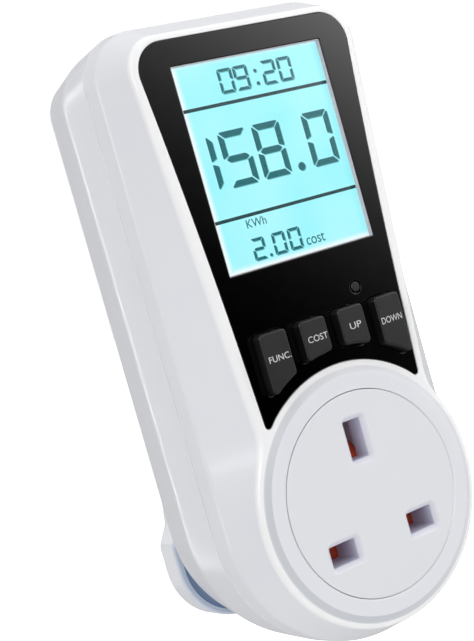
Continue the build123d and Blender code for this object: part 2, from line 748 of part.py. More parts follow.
with BuildPart() as socket_base:
    with BuildSketch(level(BASE_Y[1])):
        Circle(BASE_R)
    extrude(amount=BASE_Y[1] - BASE_Y[0])
    with BuildSketch(level(RECESS_FLOOR_Y)):
        with Locations((0, -12.95)):
            Rectangle(32.4, 13.7)
        with Locations((0, 5.5)):
            Rectangle(7.2, 23.4)
    extrude(amount=10.0, mode=Mode.SUBTRACT)
    with BuildSketch(level(-41.4)):
        with Locations((0, -21.8)):
            Rectangle(4.8, 6.2)
    extrude(amount=10.0, mode=Mode.SUBTRACT)
    with BuildSketch(level(CHAMBER_Y)):
        with Locations(*LIVE_SPOTS):
            Rectangle(LIVE_APERTURE[0] + 0.4, LIVE_APERTURE[1] + 0.4)
        with Locations((0, EARTH_Z)):
            Rectangle(EARTH_APERTURE[0] + 0.4, EARTH_APERTURE[1] + 0.4)
    extrude(amount=5.0, mode=Mode.SUBTRACT)
    with BuildSketch(level(BASE_Y[1])):
        with Locations(*LIVE_SPOTS):
            Rectangle(10.0, 9.0)
        with Locations((0, EARTH_Z)):
            Rectangle(9.0, 12.0)
    extrude(amount=BASE_Y[1] - CHAMBER_Y, mode=Mode.SUBTRACT)
    with BuildSketch(level(BASE_Y[1])):
        with Locations(*SOCKET_POSTS):
            Circle(BIG_SCREW[0] + 0.1)
    extrude(amount=25.0, mode=Mode.SUBTRACT)
    with BuildSketch(level(BASE_Y[0] + 2.4)):
        with Locations(*SOCKET_POSTS):
            Circle(BIG_SCREW[1] + 0.2)
    extrude(amount=5.0, mode=Mode.SUBTRACT)
save(socket_base.part, "socket_base")

COVER_Y = (-23.95, -21.6)
STRAP = (5.0, 0.8)
with BuildPart() as contact_cover:
    with BuildSketch(level(COVER_Y[1])):
        Circle(24.0)
        with Locations(*SOCKET_POSTS):
            Circle(3.4, mode=Mode.SUBTRACT)
        with Locations(*LIVE_SPOTS):
            Rectangle(STRAP[0] + 0.4, STRAP[1] + 0.4, mode=Mode.SUBTRACT)
        with Locations((0, EARTH_Z)):
            Rectangle(STRAP[1] + 0.4, STRAP[0] + 0.4, mode=Mode.SUBTRACT)
    extrude(amount=COVER_Y[1] - COVER_Y[0])
save(contact_cover.part, "contact_cover")

# ---------------------------------------------------------------- shutter and its spring

ARM = (31.6, 6.4)
ARM_Z = -9.8
SPRING_Y = -44.6
SPRING_WIRE = 0.45
SPRING_R = 1.3
SPRING_SPAN = (-24.6, -13.1)

with BuildPart() as shutter:
    with BuildSketch(level(SHUTTER_Y[1])):
        with Locations((0, ARM_Z)):
            Rectangle(*ARM)
    extrude(amount=SHUTTER_Y[1] - ARM_Y)
    with BuildSketch(level(SHUTTER_Y[1])):
        with Locations((0, 0.9)):
            Rectangle(6.4, 15.4)
    extrude(amount=SHUTTER_Y[1] - SHUTTER_Y[0])
    with BuildSketch(Plane.YZ.offset(-3.2)):
        with BuildLine():
            Polyline(
                (SHUTTER_Y[0], 4.0),
                (SHUTTER_Y[0], 8.6),
                (RECESS_FLOOR_Y - 0.3, 14.7),
                (RECESS_FLOOR_Y - 0.3, 4.0),
                close=True,
            )
        make_face()
    extrude(amount=6.4)
    with BuildSketch(level(SHUTTER_Y[1])):
        with Locations((0, -11.9)):
            Rectangle(4.6, 2.2)
    extrude(amount=SHUTTER_Y[1] - SPRING_Y + SPRING_R)
save(shutter.part, "shutter")

with BuildPart() as shutter_spring:
    with BuildLine(Plane((0, SPRING_Y, SPRING_SPAN[0] + SPRING_WIRE / 2))):
        coil = Helix(1.6, SPRING_SPAN[1] - SPRING_SPAN[0] - SPRING_WIRE, SPRING_R)
    with BuildSketch(Plane(coil @ 0, z_dir=coil % 0)):
        Circle(SPRING_WIRE / 2)
    sweep()
save(shutter_spring.part, "shutter_spring")

# ---------------------------------------------------------------- contacts and straps

LEAF_T = 0.7
LEAF_GAP = 3.7
CONTACT_Y = (-37.4, -25.0)


def contact(name, plane, centre, width):
    """Two spring leaves on a web; the sketch runs along Y and across the pin."""
    half = LEAF_GAP / 2
    front, back = CONTACT_Y
    with BuildPart() as clip:
        with BuildSketch(plane.offset(-width / 2)):
            for side in (-1, 1):
                with BuildLine():
                    Polyline(
                        (front, centre + side * (half + 1.0)),
                        (front + 2.0, centre + side * half),
                        (back, centre + side * half),
                        (back, centre + side * (half + LEAF_T)),
                        (front + 2.2, centre + side * (half + LEAF_T)),
                        (front, centre + side * (half + 1.0 + LEAF_T)),
                        close=True,
                    )
                make_face()
            with Locations((back - LEAF_T / 2, centre)):
                Rectangle(LEAF_T, LEAF_GAP + 0.2)
        extrude(amount=width)
    save(clip.part, name)


CONTACT_WIDTH = 5.6
contact("neutral_contact", Plane.YZ.offset(-PIN_X), PIN_Z, CONTACT_WIDTH)
contact("line_contact", Plane.YZ.offset(PIN_X), PIN_Z, CONTACT_WIDTH)
contact("earth_contact", Plane((0, 0, EARTH_Z), x_dir=(0, 1, 0), z_dir=(0, 0, 1)), 0.0, 7.0)

PIN_HEAD_Y = (-15.4, INNER_BACK_Y - 0.05)
LINE_STRAP_Y = (POWER_BOARD_Y[0] - 0.85, POWER_BOARD_Y[0] - 0.05)
PIN_STRAP_Y = (POWER_BOARD_Y[1] + 0.05, POWER_BOARD_Y[1] + 0.85)
STRAP_TOP = 36.0


def riser(name, flat_y, axial_y):
    """Line strap: a short tongue along Y and a flat riser up to the power board."""
    tall = STRAP_TOP - PIN_Z
    with BuildPart() as strap:
        with BuildSketch(level(flat_y[1])):
            with Locations((PIN_X, PIN_Z + tall / 2 - STRAP[1] / 4)):
                Rectangle(STRAP[0], tall + STRAP[1] / 2)
        extrude(amount=flat_y[1] - flat_y[0])
        with BuildSketch(level(axial_y[1])):
            with Locations((PIN_X, PIN_Z)):
                Rectangle(*STRAP)
        extrude(amount=axial_y[1] - axial_y[0])
    save(strap.part, name)


riser("line_strap", LINE_STRAP_Y, (CONTACT_Y[1] + 0.01, LINE_STRAP_Y[1]))
riser("line_pin_strap", PIN_STRAP_Y, (PIN_STRAP_Y[0], PIN_HEAD_Y[0] - 0.01))
plate("neutral_strap", (-PIN_X, PIN_Z), STRAP, (CONTACT_Y[1] + 0.01, PIN_HEAD_Y[0] - 0.01))
plate("earth_strap", (0, EARTH_Z), STRAP[::-1], (CONTACT_Y[1] + 0.01, PIN_HEAD_Y[0] - 0.01))

# ---------------------------------------------------------------- pins, sleeves and pin clamp

LIVE_HEAD = (9.0, 6.4)
EARTH_HEAD = (6.4, 10.0)


def pin(name, spot, section, head, length, sleeved):
    """Plug pin with a square head inside the case and a bevelled tip."""
    waist = 2 * SLEEVE_WALL if sleeved else 0.0
    with BuildPart() as blade:
        with BuildSketch(level(PIN_HEAD_Y[1])):
            with Locations(spot):
                Rectangle(*head)
        extrude(amount=PIN_HEAD_Y[1] - PIN_HEAD_Y[0])
        with BuildSketch(level(length)):
            with Locations(spot):
                Rectangle(*section)
        extrude(amount=length - PIN_HEAD_Y[1])
        chamfer(blade.edges().group_by(Axis.Y)[-1], 0.9)
        if sleeved:
            with BuildSketch(level(SLEEVE_LENGTH)):
                with Locations(spot):
                    Rectangle(section[0] + 1, section[1] + 1)
                    Rectangle(section[0] - waist, section[1] - waist, mode=Mode.SUBTRACT)
            extrude(amount=SLEEVE_LENGTH + SLEEVE_ROOT, mode=Mode.SUBTRACT)
    save(blade.part, name)


pin("line_pin", (PIN_X, PIN_Z), LIVE_PIN, LIVE_HEAD, LIVE_PIN_LENGTH, True)
pin("neutral_pin", (-PIN_X, PIN_Z), LIVE_PIN, LIVE_HEAD, LIVE_PIN_LENGTH, True)
pin("earth_pin", (0, EARTH_Z), EARTH_PIN, EARTH_HEAD, EARTH_PIN_LENGTH, False)

with BuildPart() as pin_sleeves:
    with BuildSketch(level(SLEEVE_LENGTH - 0.01)):
        bore = 2 * SLEEVE_WALL - 0.02
        with Locations(*LIVE_SPOTS):
            Rectangle(*LIVE_PIN)
            Rectangle(LIVE_PIN[0] - bore, LIVE_PIN[1] - bore, mode=Mode.SUBTRACT)
    extrude(amount=SLEEVE_LENGTH + SLEEVE_ROOT - 0.02)
save(pin_sleeves.part, "pin_sleeves")

CLAMP_Y = (-17.4, INNER_BACK_Y - 0.05)
with BuildPart() as pin_clamp:
    with BuildSketch(level(CLAMP_Y[1])):
        with Locations((0, 2.0)):
            RectangleRounded(34.2, 36.0, 3.0)
    extrude(amount=CLAMP_Y[1] - CLAMP_Y[0])
    with BuildSketch(level(CLAMP_Y[1])):
        with Locations(*LIVE_SPOTS):
            Rectangle(LIVE_HEAD[0] + 0.2, LIVE_HEAD[1] + 0.2)
        with Locations((0, EARTH_Z)):
            Rectangle(EARTH_HEAD[0] + 0.2, EARTH_HEAD[1] + 0.2)
    extrude(amount=PIN_HEAD_Y[1] - PIN_HEAD_Y[0] + 0.02, mode=Mode.SUBTRACT)
    with BuildSketch(level(CLAMP_Y[1])):
        with Locations(*LIVE_SPOTS):
            Rectangle(STRAP[0] + 0.4, STRAP[1] + 0.4)
        with Locations((0, EARTH_Z)):
            Rectangle(STRAP[1] + 0.4, STRAP[0] + 0.4)
        with Locations(*PLUG_SCREWS):
            Circle(SMALL_SCREW[0] + 0.1)
    extrude(amount=6.0, mode=Mode.SUBTRACT)
save(pin_clamp.part, "pin_clamp")

# ---------------------------------------------------------------- fasteners

CASE_HEAD_Y = BACK_Y - 8.0

save(screws(CASE_POSTS, BIG_SCREW, CASE_HEAD_Y, CASE_HEAD_Y - 18.0, False), "case_screws")
save(screws(SOCKET_POSTS, BIG_SCREW, BASE_Y[0] + 2.38, -17.0, True), "socket_screws")
save(screws(PLUG_SCREWS, SMALL_SCREW, CLAMP_Y[0] - 0.02, -4.4, True), "plug_screws")

with BuildPart() as board_screws:
    add(screws(POWER_POSTS, SMALL_SCREW, POWER_BOARD_Y[0] - 0.02, -14.2, True))
    add(screws(DISPLAY_POSTS, SMALL_SCREW, DISPLAY_BOARD_Y[1] + 0.02, -46.6, False))
save(board_screws.part, "board_screws")
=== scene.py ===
import json
import math

import bmesh
import bpy
import numpy as np
from mathutils import Matrix, Quaternion, Vector
from mathutils.bvhtree import BVHTree


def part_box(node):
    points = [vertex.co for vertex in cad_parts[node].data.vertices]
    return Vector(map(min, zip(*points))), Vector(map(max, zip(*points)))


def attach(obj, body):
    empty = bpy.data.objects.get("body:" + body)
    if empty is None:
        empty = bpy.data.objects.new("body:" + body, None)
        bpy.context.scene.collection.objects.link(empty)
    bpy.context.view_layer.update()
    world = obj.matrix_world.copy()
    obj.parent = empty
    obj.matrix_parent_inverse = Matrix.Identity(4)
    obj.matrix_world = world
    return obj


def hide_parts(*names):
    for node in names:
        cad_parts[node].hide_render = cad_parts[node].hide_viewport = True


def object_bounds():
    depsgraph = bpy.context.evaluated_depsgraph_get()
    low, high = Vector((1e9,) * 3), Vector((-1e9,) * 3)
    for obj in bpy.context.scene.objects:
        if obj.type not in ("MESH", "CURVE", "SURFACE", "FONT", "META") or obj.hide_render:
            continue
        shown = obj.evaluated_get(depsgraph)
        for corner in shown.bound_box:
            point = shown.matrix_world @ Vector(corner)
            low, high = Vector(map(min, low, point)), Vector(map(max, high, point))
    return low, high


# Plug-in power meter: the looks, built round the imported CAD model.
# Shapes are drawn in millimetres as (x, z) outlines at depths along y, and made in metres.

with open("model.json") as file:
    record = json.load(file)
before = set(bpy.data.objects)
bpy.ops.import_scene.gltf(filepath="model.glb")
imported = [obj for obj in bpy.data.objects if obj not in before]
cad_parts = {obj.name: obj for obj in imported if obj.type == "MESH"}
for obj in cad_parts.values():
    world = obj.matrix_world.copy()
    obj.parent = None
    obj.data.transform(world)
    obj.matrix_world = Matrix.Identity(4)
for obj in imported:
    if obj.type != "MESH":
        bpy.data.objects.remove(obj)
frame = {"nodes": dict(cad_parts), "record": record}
cad_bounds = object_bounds()
MM = 0.001


def low(node):
    """Lowest corner of a CAD node, in millimetres."""
    return np.array(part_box(node)[0]) / MM


def high(node):
    """Highest corner of a CAD node, in millimetres."""
    return np.array(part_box(node)[1]) / MM


def middle(node):
    """Centre of a CAD node's box, in millimetres."""
    return (low(node) + high(node)) / 2


def spot_of(node):
    """Centre of a CAD node seen from the front, as (x, z) in millimetres."""
    centre = middle(node)
    return centre[0], centre[2]


# ---------------------------------------------------------------- sizes
PLATEAU_Y = low("socket_disc")[1]
FASCIA_Y = (low("fascia_panel")[1], high("fascia_panel")[1])
FACE_Y = FASCIA_Y[0] - 0.1
FLOOR_Y = FASCIA_Y[1] + 0.05
INNER_FRONT_Y = -47.8
CREASE_Y = -41.6
SEAM_Y = -36.5
SEAM_GAP = 0.2
RIDGE_Y = -24.5
INNER_BACK_Y = low("plug_base")[1]
BACK_Y = high("rear_shell")[1]
FLANGE_Y = -6.7
FLANGE_BAND = 1.3  # band round the flange's front, outside its raised pad, in paler painted shade than the pad
FLANGE_PAD = 0.15
POST_END_Y = -30.0
COUNTERBORE_Y = BACK_Y - 8.0
WALL = 2.2
CASE_TOP = high("rear_shell")[2]
CASE_HALF = high("rear_shell")[0]
CREASE = (32.7, 110.3, 11.2)  # half width, top and corner radius
SEAM = (CASE_HALF, CASE_TOP, 11.8)
RIDGE = (32.7, 109.8, 12.0)
BACK = (29.8, 107.0, 8.8)
INNER_BACK = (27.8, 105.0, 6.9)
FACE_HALF_TOP = 29.5
FACE_HALF_NECK = 23.3
FACE_TOP = 106.6
FACE_CORNER_R = 7.6
FLANK_LEVELS = (20, 14)  # heights at which the flank changes from neck to socket end
SOCKET_RIM_R = 29.2
NECK_R = 12.0
PLATEAU_R = 26.5
PLATEAU_FOOT_R = 28.2
DISC_R = 22.75
DISC_GAP = 0.15
DISC_FLANGE_R = 24.2
FASCIA_TOP = 105.3
FASCIA_CORNER_R = 6.8
FASCIA_ARC_R = 29.3
FASCIA_TIP_R = 1.0
FASCIA_FIT = 0.12
FASCIA_SIDE = ((98.2, 27.75), (65.0, 24.6), (18.0, 21.6))  # height and half width down the side
WINDOW = (0.0, 76.7, 39.8, 45.5)  # centre x, centre z, width and height
LCD_OPENING = (0.0, 75.4, 43.4, 52.4)
KEYS = {"func": "FUNC.", "cost": "COST", "up": "UP", "down": "DOWN"}
KEY_TOP = 40.7
KEY_TOP_Y = low("func_key")[1]
KEY_WIDTH = 7.2
KEY_ARC_R = 32.8
KEY_GAP = 0.25
INNER_FIT = 0.05  # play between the front shell's inner face and what lies against it
RESET_HOLE_R = 1.5
RESET_SPOT = spot_of("reset_button")
LIVE_SPOTS = (spot_of("line_pin"), spot_of("neutral_pin"))
EARTH_SPOT = (0.0, middle("earth_pin")[2])
LIVE_APERTURE = (7.0, 4.6)
EARTH_APERTURE = (4.6, 8.8)
APERTURE_CHAMFER = 1.1
LIVE_PIN = (6.35, 3.95)
EARTH_PIN = (3.95, 8.0)
SLEEVE_LENGTH = high("pin_sleeves")[1]


# ---------------------------------------------------------------- outlines
def line(start, end, steps=1):
    """Points on a straight run, both ends included."""
    return np.linspace(start, end, steps + 1)


def arc(centre, radius, start, end, steps):
    """Points on an arc, both ends included, with angles in degrees from +X towards +Z."""
    turn = np.radians(np.linspace(start, end, steps + 1))
    return np.column_stack((centre[0] + radius * np.cos(turn), centre[1] + radius * np.sin(turn)))


def mirrored(*runs):
    """Closed outline from the runs of its right half, which go from the top centre to the foot."""
    right = np.vstack([run[:-1] for run in runs] + [runs[-1][-1:]])
    left = right[-2:0:-1] * (-1, 1)
    return np.vstack((right, left))


def slab(half, top, corner_r, inset=0.0):
    """Straight sides, rounded top corners and a half-round foot."""
    half, top, r = half - inset, top - inset, corner_r - inset
    upper, lower = FLANK_LEVELS
    return mirrored(
        line((0, top), (half - r, top), 14),
        arc((half - r, top - r), r, 90, 0, 18),
        line((half, top - r), (half, upper), 40),
        line((half, upper), (half, lower), 10),
        line((half, lower), (half, 0), 12),
        arc((0, 0), half, 0, -90, 40),
    )


def face(inset=0.0):
    """Front outline: tapered head, hollow neck and round socket end, point for point like slab."""
    half, neck, top = FACE_HALF_TOP - inset, FACE_HALF_NECK - inset, FACE_TOP - inset
    r, rim, bend = FACE_CORNER_R - inset, SOCKET_RIM_R - inset, NECK_R + inset
    bend_x = neck + bend
    bend_z = math.sqrt((rim + bend) ** 2 - bend_x**2)
    touch = math.degrees(math.atan2(bend_z, bend_x))
    return mirrored(
        line((0, top), (half - r, top), 14),
        arc((half - r, top - r), r, 90, 0, 18),
        line((half, top - r), (neck, bend_z), 40),
        arc((bend_x, bend_z), bend, 180, 180 + touch, 10),
        arc((0, 0), rim, touch, 0, 12),
        arc((0, 0), rim, 0, -90, 40),
    )


def circle(radius, centre=(0.0, 0.0), steps=128):
    return arc(centre, radius, 0, -360, steps)[:-1]


def rounded(corners, radii, steps=6):
    """Polygon with rounded corners; radii is one number or one for each corner, and 0 keeps a point."""
    corners = [np.array(c, float) for c in corners]
    radii = np.broadcast_to(radii, len(corners))
    points = []
    for i, (corner, radius) in enumerate(zip(corners, radii)):
        if radius == 0:
            points.append(corner)
            continue
        to_last = corners[i - 1] - corner
        to_next = corners[(i + 1) % len(corners)] - corner
        to_last /= np.linalg.norm(to_last)
        to_next /= np.linalg.norm(to_next)
        half = 0.5 * math.acos(np.clip(to_last @ to_next, -1, 1))
        inward = (to_last + to_next) / np.linalg.norm(to_last + to_next)
        centre = corner + inward * radius / math.sin(half)
        first = corner + to_last * radius / math.tan(half) - centre
        last = corner + to_next * radius / math.tan(half) - centre
        sweep = math.pi - 2 * half
        for t in np.linspace(0, 1, steps + 1):
            a, b = math.sin((1 - t) * sweep), math.sin(t * sweep)
            points.append(centre + (first * a + last * b) / math.sin(sweep))
    return np.array(points)


def box_outline(centre_x, centre_z, width, height, radius=0.0):
    """Rectangle about a centre, going clockwise from its top left."""
    w, h = width / 2, height / 2
    corners = [(-w, h), (w, h), (w, -h), (-w, -h)]
    return rounded([(centre_x + x, centre_z + z) for x, z in corners], radius)


def grow(outline, amount):
    """The outline moved outwards by amount, each point along its own normal."""
    before = outline - np.roll(outline, 1, 0)
    after = np.roll(outline, -1, 0) - outline
    before /= np.linalg.norm(before, axis=1)[:, None]
    after /= np.linalg.norm(after, axis=1)[:, None]
    area = np.sum(outline[:, 0] * np.roll(outline[:, 1], -1) - np.roll(outline[:, 0], -1) * outline[:, 1])
    way = np.sign(area) * np.array((1, -1))
    normal = (before + after)[:, ::-1] * way
    normal /= np.linalg.norm(normal, axis=1)[:, None]
    mitre = np.clip(np.sum(normal * (after[:, ::-1] * way), axis=1), 0.4, 1)
    return outline + normal * (amount / mitre)[:, None]


def fascia(inset=0.0):
    """Panel outline: rounded top, bowed sides and a foot that follows the socket ring."""
    heights, widths = zip(*FASCIA_SIDE)
    bow = np.polyfit(heights, widths, 2)
    tip_z = 20.0
    for _ in range(8):
        tip_z = math.sqrt(FASCIA_ARC_R**2 - np.polyval(bow, tip_z) ** 2)
    tip_x = np.polyval(bow, tip_z)
    side = [(np.polyval(bow, z), z) for z in np.linspace(heights[0], tip_z + 4.0, 30)]
    start = math.degrees(math.atan2(tip_z, tip_x))
    foot = arc((0, 0), FASCIA_ARC_R, start + 8, 90, 24)
    right = [(FASCIA_SIDE[0][1], FASCIA_TOP), *side, (tip_x, tip_z), *foot]
    radii = [FASCIA_CORNER_R, *[0] * len(side), FASCIA_TIP_R, *[0] * len(foot)]
    left = [(-x, z) for x, z in right[-2::-1]]
    points = rounded(right + left, radii + radii[-2::-1], 10)
    return grow(points, -inset) if inset else points


def key_outline(centre_x, gap=0.0):
    """Key outline: square top, and a foot on an arc about the socket axis."""
    xs = centre_x + KEY_WIDTH * np.array((0.5, 0.18, 0.0, -0.18, -0.5))
    foot = [(x, math.sqrt(KEY_ARC_R**2 - x**2)) for x in xs]
    corners = [(xs[-1], KEY_TOP), (xs[0], KEY_TOP), *foot]
    points = rounded(corners, [1, 1, 1, 0, 0, 0, 1])
    return grow(points, gap) if gap else points


def flange_outline():
    """Plug flange outline: tapered head, notched sides and wide round-shouldered foot."""
    right = [(21.0, 24.5), (24.9, 0.6), (27.9, -4.0), (27.9, -25.5)]
    left = [(-x, z) for x, z in right[::-1]]
    return rounded(right + left, [9, 3, 4, 15, 15, 4, 3, 9], 14)


# ---------------------------------------------------------------- mesh building
def ring(outline, y):
    """An outline's points at depth y."""
    return np.column_stack((outline[:, 0], np.full(len(outline), float(y)), outline[:, 1]))


def soften(rings, sizes, steps=6):
    """Rounds a run of rings at each ring with a size, over that length on both sides of it."""
    made = [rings[0]]
    for last, here, nxt, size in zip(rings, rings[1:], rings[2:], sizes[1:]):
        if not size:
            made.append(here)
            continue
        ends = []
        for other in (last, nxt):
            reach = np.linalg.norm(other - here, axis=1)[:, None]
            ends.append(here + (other - here) * np.minimum(size / np.maximum(reach, 1e-9), 0.98))
        for t in np.linspace(0, 1, steps + 1):
            made.append(ends[0] * (1 - t) ** 2 + here * 2 * t * (1 - t) + ends[1] * t**2)
    return made + [rings[-1]]


def loft(bm, rings):
    """Walls between rings of equal length; returns the first and last rows of vertices."""
    rows = [[bm.verts.new(p) for p in points] for points in rings]
    for a, b in zip(rows, rows[1:]):
        for i in range(len(a)):
            j = (i + 1) % len(a)
            bm.faces.new((a[i], a[j], b[j], b[i]))
    return rows[0], rows[-1]


def fill(bm, rows):
    """Flat face with an outside row of vertices and any rows inside it as holes."""
    edges = []
    for row in rows:
        for i, vert in enumerate(row):
            pair = (vert, row[(i + 1) % len(row)])
            edges.append(bm.edges.get(pair) or bm.edges.new(pair))
    bmesh.ops.triangle_fill(bm, use_beauty=True, use_dissolve=False, edges=edges, normal=(0, -1, 0))


EDGE_RUN = 1.05  # a rounded edge's own width, with a little room


def block(bm, outline, front, back, front_edge=0.0, back_edge=0.0, holes=()):
    """Flat-faced solid between two depths, with rounded edges and through holes."""
    fronts, backs = [], []
    for i, loop in enumerate((outline, *holes)):
        way = -1 if i == 0 else 1
        rings = [ring(loop, front), ring(loop, back)]
        sizes = [0, 0]
        if front_edge:
            rings.insert(0, ring(grow(loop, way * front_edge * EDGE_RUN), front))
            sizes = [0, front_edge, 0]
        if back_edge:
            rings.append(ring(grow(loop, way * back_edge * EDGE_RUN), back))
            sizes = [*sizes[:-1], back_edge, 0]
        first, last = loft(bm, soften(rings, sizes, 4))
        fronts.append(first)
        backs.append(last)
    fill(bm, fronts)
    fill(bm, backs)


WELD = 1e-5


def piece(name, bm, material, body="case", stands_for=(), sharp=38):
    """Turns a bmesh drawn in millimetres into a piece that rides on a body."""
    bmesh.ops.remove_doubles(bm, verts=bm.verts, dist=WELD)
    bmesh.ops.recalc_face_normals(bm, faces=bm.faces)
    mesh = bpy.data.meshes.new(name)
    bm.to_mesh(mesh)
    bm.free()
    mesh.transform(Matrix.Scale(MM, 4))
    mesh.shade_smooth()
    mesh.set_sharp_from_angle(angle=math.radians(sharp))
    mesh.materials.append(material)
    made = bpy.data.objects.new(name, mesh)
    bpy.context.scene.collection.objects.link(made)
    weighted = made.modifiers.new("even_normals", "WEIGHTED_NORMAL")
    weighted.keep_sharp = True
    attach(made, body)
    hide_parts(*stands_for)


# ---------------------------------------------------------------- materials
def linear(red, green, blue):
    """Linear colour of an 8-bit screen colour."""
    return tuple(
        ((c / 255 + 0.055) / 1.055) ** 2.4 if c > 10 else c / 255 / 12.92
        for c in (red, green, blue)
    )


def add_node(tree, kind, **settings):
    """New shader node; each setting is one of its properties or the default of one of its inputs."""
    node = tree.nodes.new(kind)
    for key, value in settings.items():
        if hasattr(node, key):
            setattr(node, key, value)
        else:
            node.inputs[key.replace("_", " ")].default_value = value
    return node


def noise(tree, size_mm, detail=3.0, stretch=(1, 1, 1)):
    """Noise whose blobs are about size_mm across, or longer along a stretched axis."""
    place = add_node(tree, "ShaderNodeTexCoord")
    scale = add_node(tree, "ShaderNodeMapping")
    scale.inputs["Scale"].default_value = stretch
    texture = add_node(tree, "ShaderNodeTexNoise", Scale=1 / (size_mm * MM), Detail=detail)
    tree.links.new(place.outputs["Object"], scale.inputs["Vector"])
    tree.links.new(scale.outputs["Vector"], texture.inputs["Vector"])
    return texture.outputs["Fac"]


def spread(tree, value, low_end, high_end):
    """Maps a noise's middle range to low_end..high_end."""
    node = add_node(tree, "ShaderNodeMapRange", From_Min=0.3, From_Max=0.7, To_Min=low_end, To_Max=high_end)
    tree.links.new(value, node.inputs["Value"])
    return node.outputs["Result"]


def finish_of(name, colour, roughness, mottle=0.03, mottle_mm=14.0, gloss_spread=0.04,
              grain_mm=0.22, grain_um=3.0, stretch=(1, 1, 1), **sockets):
    """Moulded, rolled or painted finish: slow colour mottle, uneven gloss and a fine grain."""
    material = bpy.data.materials.new(name)
    material.use_nodes = True
    tree = material.node_tree
    shader = tree.nodes["Principled BSDF"]
    mix = add_node(tree, "ShaderNodeMix", data_type="RGBA")
    mix.inputs[6].default_value = (*[c * (1 - mottle) for c in colour], 1)
    mix.inputs[7].default_value = (*[min(1, c * (1 + mottle)) for c in colour], 1)
    tree.links.new(spread(tree, noise(tree, mottle_mm, 4), 0, 1), mix.inputs[0])
    tree.links.new(mix.outputs[2], shader.inputs["Base Color"])
    gloss = spread(tree, noise(tree, 2.5, 5), max(0.02, roughness - gloss_spread), roughness + gloss_spread)
    tree.links.new(gloss, shader.inputs["Roughness"])
    bump = add_node(tree, "ShaderNodeBump", Strength=1.0, Distance=grain_um * MM * MM)
    tree.links.new(noise(tree, grain_mm, 2, stretch), bump.inputs["Height"])
    tree.links.new(bump.outputs["Normal"], shader.inputs["Normal"])
    for socket, value in sockets.items():
        shader.inputs[socket.replace("_", " ")].default_value = value
    return material


def tint_by_depth(material, stops):
    """Multiplies a finish by colours that change along y; stops are (y in millimetres, colour)."""
    tree = material.node_tree
    shader = tree.nodes["Principled BSDF"]
    plain = shader.inputs["Base Color"].links[0].from_socket
    place = add_node(tree, "ShaderNodeTexCoord")
    parts = add_node(tree, "ShaderNodeSeparateXYZ")
    depth = add_node(tree, "ShaderNodeMapRange")
    depth.inputs["From Min"].default_value = stops[0][0] * MM
    depth.inputs["From Max"].default_value = stops[-1][0] * MM
    ramp = add_node(tree, "ShaderNodeValToRGB")
    span = stops[-1][0] - stops[0][0]
    for i, (y, colour) in enumerate(stops):
        place_on_ramp = (y - stops[0][0]) / span
        element = ramp.color_ramp.elements[i] if i < 2 else ramp.color_ramp.elements.new(place_on_ramp)
        element.position = place_on_ramp
        element.color = (*colour, 1)
    multiply = add_node(tree, "ShaderNodeMix", data_type="RGBA", blend_type="MULTIPLY")
    multiply.inputs[0].default_value = 1.0
    tree.links.new(place.outputs["Object"], parts.inputs["Vector"])
    tree.links.new(parts.outputs["Y"], depth.inputs["Value"])
    tree.links.new(depth.outputs["Result"], ramp.inputs["Fac"])
    tree.links.new(plain, multiply.inputs[6])
    tree.links.new(ramp.outputs["Color"], multiply.inputs[7])
    tree.links.new(multiply.outputs[2], shader.inputs["Base Color"])


# Colour of the painted shade on the plateau's sloped wall, and the direction in which it is strongest.
RING_PAINTED_SHADE = linear(120, 132, 142)
RING_BLUR = 0.12
PAINTED_SHADE_WAY = (-0.86, 0, -0.5)


def paint_ring_shade(material, radii, amount):
    """Paints shade onto the ring between two radii about the socket axis by amount, most on its lower left,
    standing in for the shade on the plateau's sloped wall.
    """
    tree = material.node_tree
    shader = tree.nodes["Principled BSDF"]
    plain = shader.inputs["Base Color"].links[0].from_socket
    place = add_node(tree, "ShaderNodeTexCoord")
    flat = add_node(tree, "ShaderNodeVectorMath", operation="MULTIPLY")
    flat.inputs[1].default_value = (1, 0, 1)
    reach = add_node(tree, "ShaderNodeVectorMath", operation="LENGTH")
    parts = add_node(tree, "ShaderNodeSeparateXYZ")
    rise = add_node(tree, "ShaderNodeMapRange", interpolation_type="SMOOTHSTEP")
    fall = add_node(tree, "ShaderNodeMapRange", interpolation_type="SMOOTHSTEP", To_Min=1.0, To_Max=0.0)
    front = add_node(tree, "ShaderNodeMath", operation="LESS_THAN")
    front.inputs[1].default_value = (FACE_Y + 0.01) * MM
    for node, radius in ((rise, radii[0]), (fall, radii[1])):
        node.inputs["From Min"].default_value = (radius - RING_BLUR) * MM
        node.inputs["From Max"].default_value = (radius + RING_BLUR) * MM
        tree.links.new(reach.outputs["Value"], node.inputs["Value"])
    band = add_node(tree, "ShaderNodeMath", operation="MULTIPLY")
    mask = add_node(tree, "ShaderNodeMath", operation="MULTIPLY")
    side = add_node(tree, "ShaderNodeVectorMath", operation="DOT_PRODUCT")
    side.inputs[1].default_value = PAINTED_SHADE_WAY
    lean = add_node(tree, "ShaderNodeMapRange", To_Min=0.15 * amount, To_Max=amount)
    lean.inputs["From Min"].default_value = -0.5 * radii[0] * MM
    lean.inputs["From Max"].default_value = 0.7 * radii[0] * MM
    strength = add_node(tree, "ShaderNodeMath", operation="MULTIPLY")
    shade = add_node(tree, "ShaderNodeMix", data_type="RGBA", blend_type="MULTIPLY")
    shade.inputs[7].default_value = (*RING_PAINTED_SHADE, 1)
    links = tree.links.new
    links(place.outputs["Object"], flat.inputs[0])
    links(flat.outputs["Vector"], reach.inputs[0])
    links(place.outputs["Object"], parts.inputs["Vector"])
    links(parts.outputs["Y"], front.inputs[0])
    links(rise.outputs["Result"], band.inputs[0])
    links(fall.outputs["Result"], band.inputs[1])
    links(band.outputs[0], mask.inputs[0])
    links(front.outputs[0], mask.inputs[1])
    links(place.outputs["Object"], side.inputs[0])
    links(side.outputs["Value"], lean.inputs["Value"])
    links(mask.outputs[0], strength.inputs[0])
    links(lean.outputs["Result"], strength.inputs[1])
    links(strength.outputs[0], shade.inputs[0])
    links(plain, shade.inputs[6])
    links(shade.outputs[2], shader.inputs["Base Color"])


